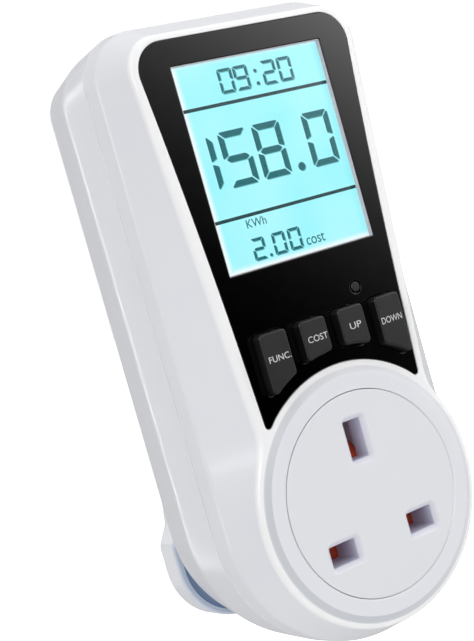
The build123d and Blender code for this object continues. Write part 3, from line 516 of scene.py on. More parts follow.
# axis, centre, and the distances from it at which the whitening starts and ends
GLOW_FADES = (("X", 1.3, 18.4, 19.8), ("Z", WINDOW[1] + 0.4, 21.4, 22.9))


def backlight_glow():
    """Cyan backlight that whitens towards the edges of the visible window."""
    material = finish_of("lcd_backlight", linear(20, 60, 66), 0.35, grain_um=0.5, Specular_IOR_Level=0.0)
    tree = material.node_tree
    shader = tree.nodes["Principled BSDF"]
    place = add_node(tree, "ShaderNodeTexCoord")
    parts = add_node(tree, "ShaderNodeSeparateXYZ")
    tree.links.new(place.outputs["Object"], parts.inputs["Vector"])
    fades = []
    for axis, centre, start, end in GLOW_FADES:
        shift = add_node(tree, "ShaderNodeMath", operation="SUBTRACT")
        shift.inputs[1].default_value = centre * MM
        size = add_node(tree, "ShaderNodeMath", operation="ABSOLUTE")
        ramp = add_node(tree, "ShaderNodeMapRange", interpolation_type="SMOOTHSTEP")
        ramp.inputs["From Min"].default_value = start * MM
        ramp.inputs["From Max"].default_value = end * MM
        tree.links.new(parts.outputs[axis], shift.inputs[0])
        tree.links.new(shift.outputs[0], size.inputs[0])
        tree.links.new(size.outputs[0], ramp.inputs["Value"])
        fades.append(ramp.outputs["Result"])
    edge = add_node(tree, "ShaderNodeMath", operation="MAXIMUM")
    for i, fade in enumerate(fades):
        tree.links.new(fade, edge.inputs[i])
    mottle = add_node(tree, "ShaderNodeMix", data_type="RGBA")
    mottle.inputs[6].default_value = (*linear(155, 244, 253), 1)
    mottle.inputs[7].default_value = (*linear(176, 248, 254), 1)
    tree.links.new(spread(tree, noise(tree, 16.0, 1), 0, 1), mottle.inputs[0])
    whiten = add_node(tree, "ShaderNodeMix", data_type="RGBA")
    whiten.inputs[7].default_value = (*linear(240, 253, 254), 1)
    tree.links.new(edge.outputs[0], whiten.inputs[0])
    tree.links.new(mottle.outputs[2], whiten.inputs[6])
    tree.links.new(whiten.outputs[2], shader.inputs["Emission Color"])
    shader.inputs["Emission Strength"].default_value = 0.98
    return material


def lit_ink_and_shadow(name, colour, strength=1.0):
    """Dark liquid-crystal ink lit from behind, and the same glow for the figures' painted shadows."""
    material = finish_of(name, [c * 0.1 for c in colour], 0.4, grain_um=0.3, Specular_IOR_Level=0.0)
    shader = material.node_tree.nodes["Principled BSDF"]
    shader.inputs["Emission Color"].default_value = (*colour, 1)
    shader.inputs["Emission Strength"].default_value = strength
    return material


def board_finish():
    """Green solder mask with a faint pattern of tracks under it."""
    material = finish_of("solder_mask", linear(24, 96, 52), 0.25, mottle=0.1, grain_um=1.0)
    tree = material.node_tree
    shader = tree.nodes["Principled BSDF"]
    place = add_node(tree, "ShaderNodeTexCoord")
    turn = add_node(tree, "ShaderNodeMapping")
    turn.inputs["Rotation"].default_value = (math.radians(90), 0, 0)
    tracks = add_node(tree, "ShaderNodeTexBrick", Scale=1 / (6 * MM), Mortar_Size=0.06)
    tracks.inputs["Color1"].default_value = (*linear(20, 88, 46), 1)
    tracks.inputs["Color2"].default_value = (*linear(26, 100, 54), 1)
    tracks.inputs["Mortar"].default_value = (*linear(70, 140, 84), 1)
    tree.links.new(place.outputs["Object"], turn.inputs["Vector"])
    tree.links.new(turn.outputs["Vector"], tracks.inputs["Vector"])
    tree.links.new(tracks.outputs["Color"], shader.inputs["Base Color"])
    return material


WHITE = finish_of("white_moulding", linear(236, 237, 241), 0.25, mottle=0.01, gloss_spread=0.008,
                  grain_mm=0.3, grain_um=0.4)
SHELL_TINT = linear(238, 239, 243)
FRONT_WHITE_PAINTED_LIGHT = finish_of("white_front_painted_highlight_and_shade", linear(254, 254, 255), 0.25, mottle=0.008, gloss_spread=0.008,
                        grain_mm=0.3, grain_um=0.4)
# Painted highlight: the face plane and the rounding of its rim get a whiter colour than the rest of the
# shell, standing in for the light they catch.
tint_by_depth(FRONT_WHITE_PAINTED_LIGHT, (
    (FACE_Y - 0.2, SHELL_TINT),
    (FACE_Y - 0.05, (1, 1, 1)),
    (FACE_Y + 0.6, (1, 1, 1)),
    (FACE_Y + 1.3, SHELL_TINT),
))
# Painted shade on the plateau's sloped wall round the socket disc.
paint_ring_shade(FRONT_WHITE_PAINTED_LIGHT, (PLATEAU_R, PLATEAU_FOOT_R - 0.1), 0.3)
PLUG_WHITE_PAINTED_GAP_SHADE = finish_of("white_plug_painted_gap_shade", linear(236, 237, 241), 0.3, mottle=0.01, gloss_spread=0.01,
                       grain_um=0.5)
# Painted shade: the flange's front pad is steel blue and the band round it bluish grey, fading to white
# behind, standing in for the finger gap's shade.
tint_by_depth(PLUG_WHITE_PAINTED_GAP_SHADE, (
    (FLANGE_Y - FLANGE_PAD, linear(122, 146, 180)),
    (FLANGE_Y - 0.02, linear(212, 222, 236)),
    (FLANGE_Y + 0.3, linear(232, 238, 246)),
    (FLANGE_Y + 0.9, (1, 1, 1)),
))
DISC_WHITE_PAINTED_THROAT_SHADE = finish_of("white_disc_painted_throat_shade", linear(233, 234, 238), 0.42, mottle=0.008, gloss_spread=0.01,
                       grain_um=0.8)
# Painted shade: the apertures' chamfers and throats turn bluish grey and darker with depth, standing in for
# the shade inside them.
tint_by_depth(DISC_WHITE_PAINTED_THROAT_SHADE, (
    (PLATEAU_Y, (1, 1, 1)),
    (PLATEAU_Y + 1.1, linear(240, 240, 248)),
    (PLATEAU_Y + 1.5, linear(236, 236, 250)),
    (PLATEAU_Y + 7.0, linear(214, 208, 222)),
))
FASCIA = finish_of("gloss_black_panel", linear(1, 1, 1), 0.08, mottle=0.1, gloss_spread=0.02,
                   grain_mm=4.0, grain_um=0.8)
KEYCAP_PAINTED_SIDE_SHADE = finish_of("satin_grey_keys_painted_side_shade", linear(19, 19, 19), 0.42, mottle=0.05, grain_mm=0.16, grain_um=3.5)
# Painted shade: each cap's sides darken towards the fascia, standing in for the shade in the gap round the
# key.
tint_by_depth(KEYCAP_PAINTED_SIDE_SHADE, (
    (KEY_TOP_Y, (1, 1, 1)),
    (KEY_TOP_Y + 0.25, (1, 1, 1)),
    (KEY_TOP_Y + 0.8, (0.3, 0.3, 0.3)),
))
LABEL = finish_of("white_print", linear(215, 215, 215), 0.5, grain_um=1.0)
GLASS = finish_of("clear_window", (1.0, 1.0, 1.0), 0.03, mottle=0.0, gloss_spread=0.01, grain_mm=8.0,
                  grain_um=0.2, IOR=1.3, Transmission_Weight=1.0)
LINER = finish_of("pale_window_liner", linear(206, 204, 210), 0.4, mottle=0.02)
BACKLIGHT = backlight_glow()
SEGMENT_INK = lit_ink_and_shadow("segment_ink", linear(6, 98, 104))
# Painted shadow: the figures' shadows on the reflector behind the liquid crystal, drawn as a paler teal
# glowing layer offset from each figure.
PAINTED_SHADOW_GLOW = lit_ink_and_shadow("segments_painted_shadow", linear(112, 196, 204))
RULE_INK = lit_ink_and_shadow("rule_ink", linear(14, 58, 62))
BLADE = finish_of("plated_brass_pin", linear(214, 204, 176), 0.28, mottle=0.05, stretch=(1, 0.05, 1),
                  grain_mm=0.12, grain_um=1.5, Metallic=1.0)
SLEEVE = finish_of("black_pin_sleeve", linear(26, 26, 28), 0.4, mottle=0.06)

SLOT_FINISHES = {
    "case_plastic": WHITE,
    "fascia": FASCIA,
    "key_plastic": KEYCAP_PAINTED_SIDE_SHADE,
    "lens": GLASS,
    "lcd": finish_of("lcd_glass_edge", linear(120, 150, 150), 0.2, mottle=0.04),
    "frame_plastic": finish_of("grey_white_moulding", linear(205, 206, 210), 0.45, mottle=0.03),
    "light_guide": finish_of("milky_light_guide", linear(220, 240, 245), 0.3, Transmission_Weight=0.3),
    "silicone": finish_of("grey_silicone", linear(150, 152, 156), 0.7, mottle=0.05, grain_um=5.0),
    "carbon": finish_of("carbon_rubber", linear(28, 28, 28), 0.8, mottle=0.1, grain_um=6.0),
    "board": board_finish(),
    "chip_plastic": finish_of("black_package", linear(34, 34, 36), 0.55, mottle=0.08, grain_um=4.0),
    "connector": finish_of("cream_nylon", linear(226, 218, 196), 0.45, mottle=0.04),
    "steel": finish_of("zinc_plated_steel", linear(196, 198, 202), 0.3, mottle=0.06, Metallic=1.0),
    "brass": finish_of("spring_brass", linear(212, 178, 104), 0.3, mottle=0.08, stretch=(1, 0.08, 1),
                       Metallic=1.0),
    "pin_metal": BLADE,
    "sleeve": SLEEVE,
    "shutter_plastic": finish_of("red_brown_shutter", linear(214, 78, 44), 0.4, mottle=0.06),
    "capacitor": finish_of("yellow_capacitor_box", linear(226, 196, 66), 0.4, mottle=0.05),
    "capacitor_sleeve": finish_of("dark_blue_sleeve", linear(42, 56, 96), 0.25, mottle=0.06),
    "varistor_coat": finish_of("blue_dipped_coat", linear(44, 96, 168), 0.3, mottle=0.08, grain_mm=1.2,
                               grain_um=20.0),
    "resistor_body": finish_of("grey_green_lacquer", linear(130, 160, 166), 0.35, mottle=0.06),
    "shunt_metal": finish_of("copper_nickel_strip", linear(186, 156, 136), 0.32, mottle=0.06,
                             stretch=(1, 1, 0.08), Metallic=1.0),
}
for part in frame["record"]["subparts"]:
    cad = frame["nodes"][part["node"]]
    cad.data.materials.clear()
    cad.data.materials.append(SLOT_FINISHES[part["material_slot"]])


# ---------------------------------------------------------------- camera
CAMERA_AT = (-175.59, -297.55, 59.54)
CAMERA_HEADING = 32.07  # degrees from +Y towards +X
CAMERA_TILT = -2.87
CAMERA_ROLL = -15.92
LENS_MM = 78.14

heading, tilt = math.radians(CAMERA_HEADING), math.radians(CAMERA_TILT)
aim = Vector((math.sin(heading) * math.cos(tilt), math.cos(heading) * math.cos(tilt), math.sin(tilt)))
camera_data = bpy.data.cameras.new("camera")
camera_data.lens = LENS_MM
camera_data.clip_start = 0.01
camera = bpy.data.objects.new("camera", camera_data)
camera.location = Vector(CAMERA_AT) * MM
camera.rotation_mode = "QUATERNION"
camera.rotation_quaternion = aim.to_track_quat("-Z", "Y") @ Quaternion((0, 0, 1), math.radians(CAMERA_ROLL))
bpy.context.scene.collection.objects.link(camera)
bpy.context.scene.camera = camera
bpy.context.scene.view_settings.view_transform = "Standard"


# ---------------------------------------------------------------- front shell
RIM_EDGE = 0.7  # rounding of the rim and of the crease
SEAM_EDGE = 0.22
HOLE_LEAD = 0.2  # small bevel at the mouth of the disc's hole
POCKET_LEAD = 0.1


def front_shell():
    """Shell with the socket ring, the fascia's pocket and the openings through its floor."""
    bm = bmesh.new()
    shell_rings = [
        ring(face(0.86), FACE_Y),
        ring(face(0.15), FACE_Y),
        ring(slab(*CREASE), CREASE_Y),
        ring(slab(*SEAM), SEAM_Y),
        ring(slab(*SEAM, WALL), SEAM_Y),
        ring(slab(*CREASE, WALL), CREASE_Y),
        ring(face(1.2), INNER_FRONT_Y),
    ]
    rim, inner_rim = loft(bm, soften(shell_rings, [0, RIM_EDGE, RIM_EDGE, SEAM_EDGE, 0, 0, 0]))
    hole_r = DISC_R + DISC_GAP
    ring_radii = [
        (PLATEAU_FOOT_R + 0.08, FACE_Y),
        (PLATEAU_FOOT_R, FACE_Y),
        (PLATEAU_R, PLATEAU_Y),
        (hole_r + HOLE_LEAD, PLATEAU_Y),
        (hole_r, PLATEAU_Y + HOLE_LEAD),
        (hole_r, INNER_FRONT_Y),
    ]
    plateau_rings = [ring(circle(r), y) for r, y in ring_radii]
    foot, hole = loft(bm, soften(plateau_rings, [0, 0.07, 0.25, 0, 0, 0]))
    pocket_rings = [
        ring(fascia(-POCKET_LEAD), FACE_Y),
        ring(fascia(), FACE_Y + POCKET_LEAD),
        ring(fascia(), FLOOR_Y),
    ]
    mouth, floor = loft(bm, pocket_rings)
    openings = [box_outline(*LCD_OPENING, 0.6), circle(RESET_HOLE_R, RESET_SPOT, 32)]
    openings += [key_outline(middle(f"{key}_key")[0], KEY_GAP) for key in KEYS]
    walls = [loft(bm, [ring(o, FLOOR_Y), ring(o, INNER_FRONT_Y)]) for o in openings]
    fill(bm, [rim, mouth, foot])
    fill(bm, [floor, *[front for front, back in walls]])
    fill(bm, [inner_rim, hole, *[back for front, back in walls]])
    piece("front_shell_moulding", bm, FRONT_WHITE_PAINTED_LIGHT, stands_for=["front_shell"], sharp=32)


front_shell()


# ---------------------------------------------------------------- rear shell
LIP_LENGTH = 2.0
LIP_ROOT = 1.5
LIP_FIT = 0.15
LIP_OUTER = 0.65  # the lip's outer and inner face, measured in from the wall
LIP_INNER = 1.65
BACK_EDGE = 0.75
RIDGE_EDGE = 1.6
COUNTERBORE_R = 2.8
POST_R = 4.0
SPIGOT = (0.0, 1.75, 33.7, 32.7)  # opening for the plug: centre x, centre z, width and height
SPIGOT_R = 4.0
CASE_POSTS = [(-24.2, 101.4), (24.2, 101.4), (-24.8, 22.0), (24.8, 22.0)]


def solid(name, bm):
    """Loose helper object for the joining and cutting of a shell."""
    bmesh.ops.recalc_face_normals(bm, faces=bm.faces)
    mesh = bpy.data.meshes.new(name)
    bm.to_mesh(mesh)
    bm.free()
    made = bpy.data.objects.new(name, mesh)
    bpy.context.scene.collection.objects.link(made)
    return made


def combine(base, other, operation):
    """Joins or cuts base with other, and removes other."""
    change = base.modifiers.new(operation, "BOOLEAN")
    change.object = other
    change.operation = operation
    change.solver = "EXACT"
    graph = bpy.context.evaluated_depsgraph_get()
    mesh = bpy.data.meshes.new_from_object(base.evaluated_get(graph))
    base.modifiers.clear()
    base.data = mesh
    bpy.data.objects.remove(other)


def rear_shell():
    """Tapered shell with the lip at the seam, screw posts with counterbores and the plug's opening."""
    seam = SEAM_Y + SEAM_GAP
    bm = bmesh.new()
    rings = [
        ring(slab(*BACK, BACK_EDGE), BACK_Y),
        ring(slab(*BACK), BACK_Y),
        ring(slab(*RIDGE), RIDGE_Y),
        ring(slab(*SEAM), seam),
        ring(slab(*SEAM, WALL + LIP_FIT), seam),
        ring(slab(*SEAM, WALL + LIP_OUTER), seam - LIP_LENGTH),
        ring(slab(*SEAM, WALL + LIP_INNER), seam - LIP_LENGTH),
        ring(slab(*SEAM, WALL + LIP_INNER), seam + LIP_ROOT),
        ring(slab(*SEAM, WALL + 0.05), seam + LIP_ROOT),
        ring(slab(*RIDGE, WALL), RIDGE_Y),
        ring(slab(*INNER_BACK), INNER_BACK_Y),
    ]
    edges = [0, BACK_EDGE - 0.03, RIDGE_EDGE, SEAM_EDGE, *[0] * 7]
    rim, inner_rim = loft(bm, soften(rings, edges))
    outer, inner = loft(bm, [ring(box_outline(*SPIGOT, SPIGOT_R), y) for y in (BACK_Y, INNER_BACK_Y)])
    fill(bm, [rim, outer])
    fill(bm, [inner_rim, inner])
    shell = solid("rear_shell_work", bm)
    for radius, front, back, operation in (
        (POST_R, POST_END_Y, BACK_Y - 0.9, "UNION"),
        (COUNTERBORE_R, COUNTERBORE_Y, BACK_Y + 1.0, "DIFFERENCE"),
    ):
        bm = bmesh.new()
        for spot in CASE_POSTS:
            block(bm, circle(radius, spot, 48), front, back)
        combine(shell, solid("posts", bm), operation)
    bm = bmesh.new()
    bm.from_mesh(shell.data)
    bpy.data.objects.remove(shell)
    piece("rear_shell_moulding", bm, WHITE, stands_for=["rear_shell"], sharp=32)


rear_shell()


# ---------------------------------------------------------------- plug base
FLANGE_EDGES = (0.9, 0.6)  # rounding of the flange at its front and rear
NECK = (0.0, 0.5, 36.0, 39.0, 9.0)  # centre x, centre z, width, height and corner radius
SPIGOT_PLUG = (*SPIGOT[:2], 33.6, 32.6, SPIGOT_R)
PIN_SLOT_FIT = 0.1


def plug_base():
    """Wall plug moulding: flange, neck across the finger gap, spigot and the slots for the pins."""
    bm = bmesh.new()
    flange = flange_outline()
    flange_rings = [
        ring(grow(flange, -FLANGE_BAND - 0.2), FLANGE_Y - FLANGE_PAD),
        ring(grow(flange, -FLANGE_BAND), FLANGE_Y),
        ring(flange, FLANGE_Y),
        ring(flange, 0.0),
        ring(grow(flange, -0.65), 0.0),
    ]
    front, rear = loft(bm, soften(flange_rings, [0, 0, *FLANGE_EDGES, 0]))
    neck = box_outline(*NECK)
    neck_rings = [ring(grow(neck, 0.6), FLANGE_Y), ring(neck, FLANGE_Y), ring(neck, BACK_Y)]
    neck_foot, neck_top = loft(bm, soften(neck_rings, [0, 0.55, 0]))
    spigot = box_outline(*SPIGOT_PLUG)
    spigot_foot, spigot_top = loft(bm, [ring(spigot, BACK_Y), ring(spigot, INNER_BACK_Y)])
    slots = [box_outline(*spot, *[side + PIN_SLOT_FIT for side in LIVE_PIN], 0.2) for spot in LIVE_SPOTS]
    slots.append(box_outline(*EARTH_SPOT, *[side + PIN_SLOT_FIT for side in EARTH_PIN], 0.2))
    walls = [loft(bm, [ring(s, INNER_BACK_Y), ring(s, 0.0)]) for s in slots]
    fill(bm, [front, neck_foot])
    fill(bm, [neck_top, spigot_foot])
    fill(bm, [spigot_top, *[a for a, b in walls]])
    fill(bm, [rear, *[b for a, b in walls]])
    piece("plug_base_moulding", bm, PLUG_WHITE_PAINTED_GAP_SHADE, stands_for=["plug_base"], sharp=32)


plug_base()


# ---------------------------------------------------------------- pins and sleeves
PIN_CORNER_R = 0.35
PIN_TIP = 1.1  # length of the tapered end
SLEEVE_ROOT_Y = -3.0
SLEEVE_DEPTH = 0.66


def pins():
    """Three blades with tapered ends, the two live ones waisted under their sleeves."""
    for name, spot, section in (
        ("line_pin", LIVE_SPOTS[0], LIVE_PIN),
        ("neutral_pin", LIVE_SPOTS[1], LIVE_PIN),
        ("earth_pin", EARTH_SPOT, EARTH_PIN),
    ):
        tip = high(name)[1]
        blade = box_outline(*spot, *section, PIN_CORNER_R)
        rings = [
            ring(blade, INNER_BACK_Y - INNER_FIT),
            ring(blade, tip - PIN_TIP),
            ring(grow(blade, -0.95), tip),
            ring(grow(blade, -1.5), tip),
        ]
        if name != "earth_pin":
            waist = grow(blade, -SLEEVE_DEPTH)
            rings[1:1] = [
                ring(blade, SLEEVE_ROOT_Y),
                ring(waist, SLEEVE_ROOT_Y),
                ring(waist, SLEEVE_LENGTH),
                ring(blade, SLEEVE_LENGTH),
            ]
        sizes = [0] * (len(rings) - 3) + [0.5, 0.3, 0]
        bm = bmesh.new()
        first, last = loft(bm, soften(rings, sizes, 4))
        fill(bm, [first])
        fill(bm, [last])
        piece(f"{name}_blade", bm, BLADE, stands_for=[name])
    bm = bmesh.new()
    for spot in LIVE_SPOTS:
        sleeve = box_outline(*spot, *LIVE_PIN, PIN_CORNER_R)
        bore = grow(sleeve, 0.02 - SLEEVE_DEPTH)
        block(bm, sleeve, SLEEVE_ROOT_Y + 0.02, SLEEVE_LENGTH - 0.01, 0.0, 0.15, holes=[bore])
    piece("pin_sleeve_mouldings", bm, SLEEVE, stands_for=["pin_sleeves"])


pins()


# ---------------------------------------------------------------- socket disc
DISC_BACK_Y = -46.5
DISC_EDGE = 0.2
COLLAR_WALL = 1.2


def socket_disc():
    """Disc with a flange behind the shell, chamfered apertures and a collar behind the lower two."""
    collar_y = high("socket_disc")[1]
    bm = bmesh.new()
    flange_y = INNER_FRONT_Y + INNER_FIT
    radii = [
        (DISC_R - DISC_EDGE, PLATEAU_Y),
        (DISC_R, PLATEAU_Y),
        (DISC_R, flange_y),
        (DISC_FLANGE_R, flange_y),
        (DISC_FLANGE_R, DISC_BACK_Y),
    ]
    edge, back_edge = loft(bm, soften([ring(circle(r), y) for r, y in radii], [0, 0.16, 0, 0, 0]))
    mouths, ends = [], []
    holes = [(spot, LIVE_APERTURE, collar_y) for spot in LIVE_SPOTS]
    holes.append((EARTH_SPOT, EARTH_APERTURE, DISC_BACK_Y))
    for spot, size, end_y in holes:
        throat = box_outline(*spot, *size, 0.3)
        rings = [
            ring(grow(throat, APERTURE_CHAMFER + 0.15), PLATEAU_Y),
            ring(grow(throat, APERTURE_CHAMFER), PLATEAU_Y),
            ring(throat, PLATEAU_Y + APERTURE_CHAMFER),
            ring(throat, end_y),
        ]
        mouth, end = loft(bm, soften(rings, [0, 0.12, 0.18, 0], 4))
        mouths.append(mouth)
        if end_y == DISC_BACK_Y:
            ends.append(end)
            continue
        collar = grow(throat, COLLAR_WALL)
        root, tip = loft(bm, [ring(collar, DISC_BACK_Y), ring(collar, end_y)])
        fill(bm, [tip, end])
        ends.append(root)
    fill(bm, [edge, *mouths])
    fill(bm, [back_edge, *ends])
    piece("socket_disc_moulding", bm, DISC_WHITE_PAINTED_THROAT_SHADE, stands_for=["socket_disc"], sharp=32)


socket_disc()


# ---------------------------------------------------------------- fascia panel and window
LINER_GAP = 0.02
LINER_WALL = 0.22


def fascia_panel():
    """Gloss panel with its openings, and the pale liner round the window."""
    bm = bmesh.new()
    holes = [box_outline(*WINDOW, 0.25), circle(RESET_HOLE_R, RESET_SPOT, 40)]
    holes += [key_outline(middle(f"{key}_key")[0], KEY_GAP) for key in KEYS]
    block(bm, fascia(FASCIA_FIT), *FASCIA_Y, 0.16, 0.0, holes)
    piece("fascia_gloss_panel", bm, FASCIA, stands_for=["fascia_panel"], sharp=30)
    liner = box_outline(*WINDOW[:2], WINDOW[2] - LINER_GAP, WINDOW[3] - LINER_GAP, 0.25)
    bm = bmesh.new()
    block(bm, liner, FASCIA_Y[0] + 0.25, FASCIA_Y[1], 0.05, 0.0, holes=[grow(liner, -LINER_WALL)])
    piece("window_liner", bm, LINER)


fascia_panel()


# ---------------------------------------------------------------- display
GLOW_Y = low("front_polariser")[1] + 0.12
INK_Y = (GLOW_Y - 0.06, GLOW_Y)
MITRE = 0.16  # half the gap between two segments, as a share of the stroke
TIP = 0.35  # how far in the middle segment's tips stand, as a share of the stroke
SEGMENT_R = 0.14  # corner radius of a segment, as a share of the stroke
DIGIT_SEGMENTS = {
    "0": "tuvwxb", "2": "tvmwb", "5": "tumxb", "8": "tuvmwxb", "9": "tuvmxb", "1": "uw",
}  # t top, u v upper left and right, m middle, w x lower left and right, b bottom


def segment_outline(kind, width, height, stroke):
    """One bar of a seven-bar digit that stands on (0, 0), with mitred ends."""
    gap, mid, t = MITRE * stroke, height / 2, stroke
    if kind == "m":
        points = [
            (TIP * t + gap, mid),
            (t + gap, mid + t / 2),
            (width - t - gap, mid + t / 2),
            (width - TIP * t - gap, mid),
            (width - t - gap, mid - t / 2),
            (t + gap, mid - t / 2),
        ]
    elif kind in "tb":
        points = [(gap, height), (width - gap, height), (width - t - gap, height - t), (t + gap, height - t)]
    else:
        points = [(0, height - gap), (t, height - t - gap), (t, mid + t / 2 + gap / 2), (0, mid + gap)]
    if kind in "wxb":
        points = [(x, height - z) for x, z in points]
    if kind in "vx":
        points = [(width - x, z) for x, z in points]
    return rounded(points, SEGMENT_R * stroke, 3)


def ink_bars(text, lefts, foot, size):
    """Outlines of the bars of a row of digits; size is a digit's width, height and stroke."""
    outlines = []
    for digit, left in zip(text, lefts):
        for kind in DIGIT_SEGMENTS[digit]:
            outlines.append(segment_outline(kind, *size) + (left, foot))
    return outlines


def ink_piece(name, outlines, material, depths=INK_Y):
    """One printed group of the display, or the figures' painted shadows, as a thin block for each outline."""
    bm = bmesh.new()
    for outline in outlines:
        block(bm, outline, *depths)
    piece(name, bm, material)


TIME = ink_bars("0920", (-7.9, -3.8, 3.65, 8.05), 91.9, (3.75, 5.4, 0.68))
TIME += [circle(0.42, (1.95, z), 24) for z in (92.7, 95.5)]
READING = ink_bars("1580", (-15.2, -12.15, -3.2, 10.45), 71.95, (7.45, 12.2, 1.42))
READING.append(circle(0.95, (7.2, 72.9), 32))
COST = ink_bars("200", (-11.3, -5.8, -1.55), 55.65, (3.4, 4.85, 0.66))
COST.append(circle(0.36, (-7.0, 56.1), 24))
# offset of the painted shadows from their figures, in millimetres
SHADOW_PAINT_OFFSET = np.array((0.16, -0.2))
RULE_LENGTH = 42.0
RULE_STROKE = 0.75
RULES = [box_outline(0.0, z, RULE_LENGTH, RULE_STROKE, 0.05) for z in (89.9, 65.6)]
UNIT_BOX = (-11.1, -5.9, 62.84, 64.7)  # left, right, foot and head of the words
COST_WORD_BOX = (2.9, 8.0, 55.8, 57.75)


def letters(name, text, box, front, material, body, surface=None, depth=0.05):
    """Plain lettering as a thin mesh, fitted to a box (left, right, foot, head of a capital)."""
    curve = bpy.data.curves.new(name, "FONT")
    curve.body = text
    curve.extrude = 0.5
    curve.resolution_u = 4
    text_object = bpy.data.objects.new(name + "_curve", curve)
    bpy.context.scene.collection.objects.link(text_object)
    graph = bpy.context.evaluated_depsgraph_get()
    bm = bmesh.new()
    bm.from_mesh(bpy.data.meshes.new_from_object(text_object.evaluated_get(graph)))
    bpy.data.objects.remove(text_object)
    left, right, foot, head = box
    xs = [v.co.x for v in bm.verts]
    heights = [v.co.y for v in bm.verts]
    wide = (right - left) / (max(xs) - min(xs))
    tall = (head - foot) / (max(heights) - min(heights))
    for v in bm.verts:
        x, z = left + (v.co.x - min(xs)) * wide, foot + (v.co.y - min(heights)) * tall
        y = front
        if surface:
            hit = surface.ray_cast(Vector((x, front - 1, z)), Vector((0, 1, 0)))[0]
            y = (hit or surface.find_nearest(Vector((x, front, z)))[0]).y - depth / 2
        v.co = (x, y + (0 if v.co.z > 0 else depth), z)
    piece(name, bm, material, body)


def display():
    """Lit face of the display with its figures, their painted shadows, the rules and the words."""
    bm = bmesh.new()
    size = (high("front_polariser") - low("front_polariser"))[[0, 2]]
    block(bm, box_outline(*spot_of("front_polariser"), *size), GLOW_Y, high("front_polariser")[1])
    piece("lit_display_face", bm, BACKLIGHT, stands_for=["front_polariser"])
    # Painted shadows of the figures, just behind them.
    shadows = [outline + SHADOW_PAINT_OFFSET for outline in TIME + READING + COST]
    ink_piece("display_painted_shadows", shadows, PAINTED_SHADOW_GLOW, (INK_Y[0] + 0.03, INK_Y[1]))
    ink_piece("display_time", TIME, SEGMENT_INK)
    ink_piece("display_reading", READING, SEGMENT_INK)
    ink_piece("display_cost", COST, SEGMENT_INK)
    ink_piece("display_rules", RULES, RULE_INK)
    letters("display_energy_unit", "KWh", UNIT_BOX, INK_Y[0], SEGMENT_INK, "case")
    letters("display_cost_word", "cost", COST_WORD_BOX, INK_Y[0], SEGMENT_INK, "case")


display()


# ---------------------------------------------------------------- keys
LABEL_BOXES = {  # left, right, foot and head of each label
    "func": (-17.9, -12.15, 34.3, 35.65),
    "cost": (-6.95, -1.6, 35.65, 37.05),
    "up": (4.7, 7.9, 35.6, 37.05),
    "down": (13.5, 19.3, 34.4, 35.85),
}


KEY_CROWN = 0.9  # height of a cap above the fascia at which its sides turn straight
KEY_FLANGE_REACH = 0.8
KEY_FLANGE_THICK = 1.0
KEY_STEM_R = 2.2
KEY_STEM_Z = 36.0


def keys():
    """Four caps, each with a rounded crown, a flange behind the shell, a stem and its printed word."""
    for key, label in KEYS.items():
        node = f"{key}_key"
        centre_x = middle(node)[0]
        top, flange_front = low(node)[1], INNER_FRONT_Y + INNER_FIT
        flange_back = flange_front + KEY_FLANGE_THICK
        cap = key_outline(centre_x)
        bm = bmesh.new()
        rings = [
            ring(grow(cap, -0.52), top),
            ring(grow(cap, -0.12), top),
            ring(cap, FASCIA_Y[0] - KEY_CROWN),
            ring(cap, flange_front),
            ring(grow(cap, KEY_FLANGE_REACH), flange_front),
            ring(grow(cap, KEY_FLANGE_REACH), flange_back),
        ]
        first, last = loft(bm, soften(rings, [0, 0.36, 0.4, 0, 0, 0], 6))
        fill(bm, [first])
        stem = circle(KEY_STEM_R, (centre_x, KEY_STEM_Z), 32)
        root, tip = loft(bm, [ring(stem, flange_back), ring(stem, high(node)[1])])
        fill(bm, [last, root])
        fill(bm, [tip])
        surface = BVHTree.FromBMesh(bm)
        piece(f"{key}_key_cap", bm, KEYCAP_PAINTED_SIDE_SHADE, node, stands_for=[node], sharp=40)
        letters(f"{key}_label", label, LABEL_BOXES[key], top, LABEL, node, surface, 0.03)


keys()


# ---------------------------------------------------------------- studio
FLOOR_DROP = 0.16
FLOOR_R = 6.0
SKY_LIGHT = 0.45
SKY_SEEN = 1.03
SKY_COLOUR = (0.985, 0.99, 1.0, 1)
STRIP_LIGHT = 3.3
STRIP_POWER = 4.2
STRIP_SLOPE = (2.2, 2.3)  # how fast the strip brightens sideways and upwards
FLAG_HEADING = math.radians(35.5)
FLAG_CONE = (math.radians(34), math.radians(16))  # where the flag starts and where it is full
CENTRE = (0, -0.03, 0.04)


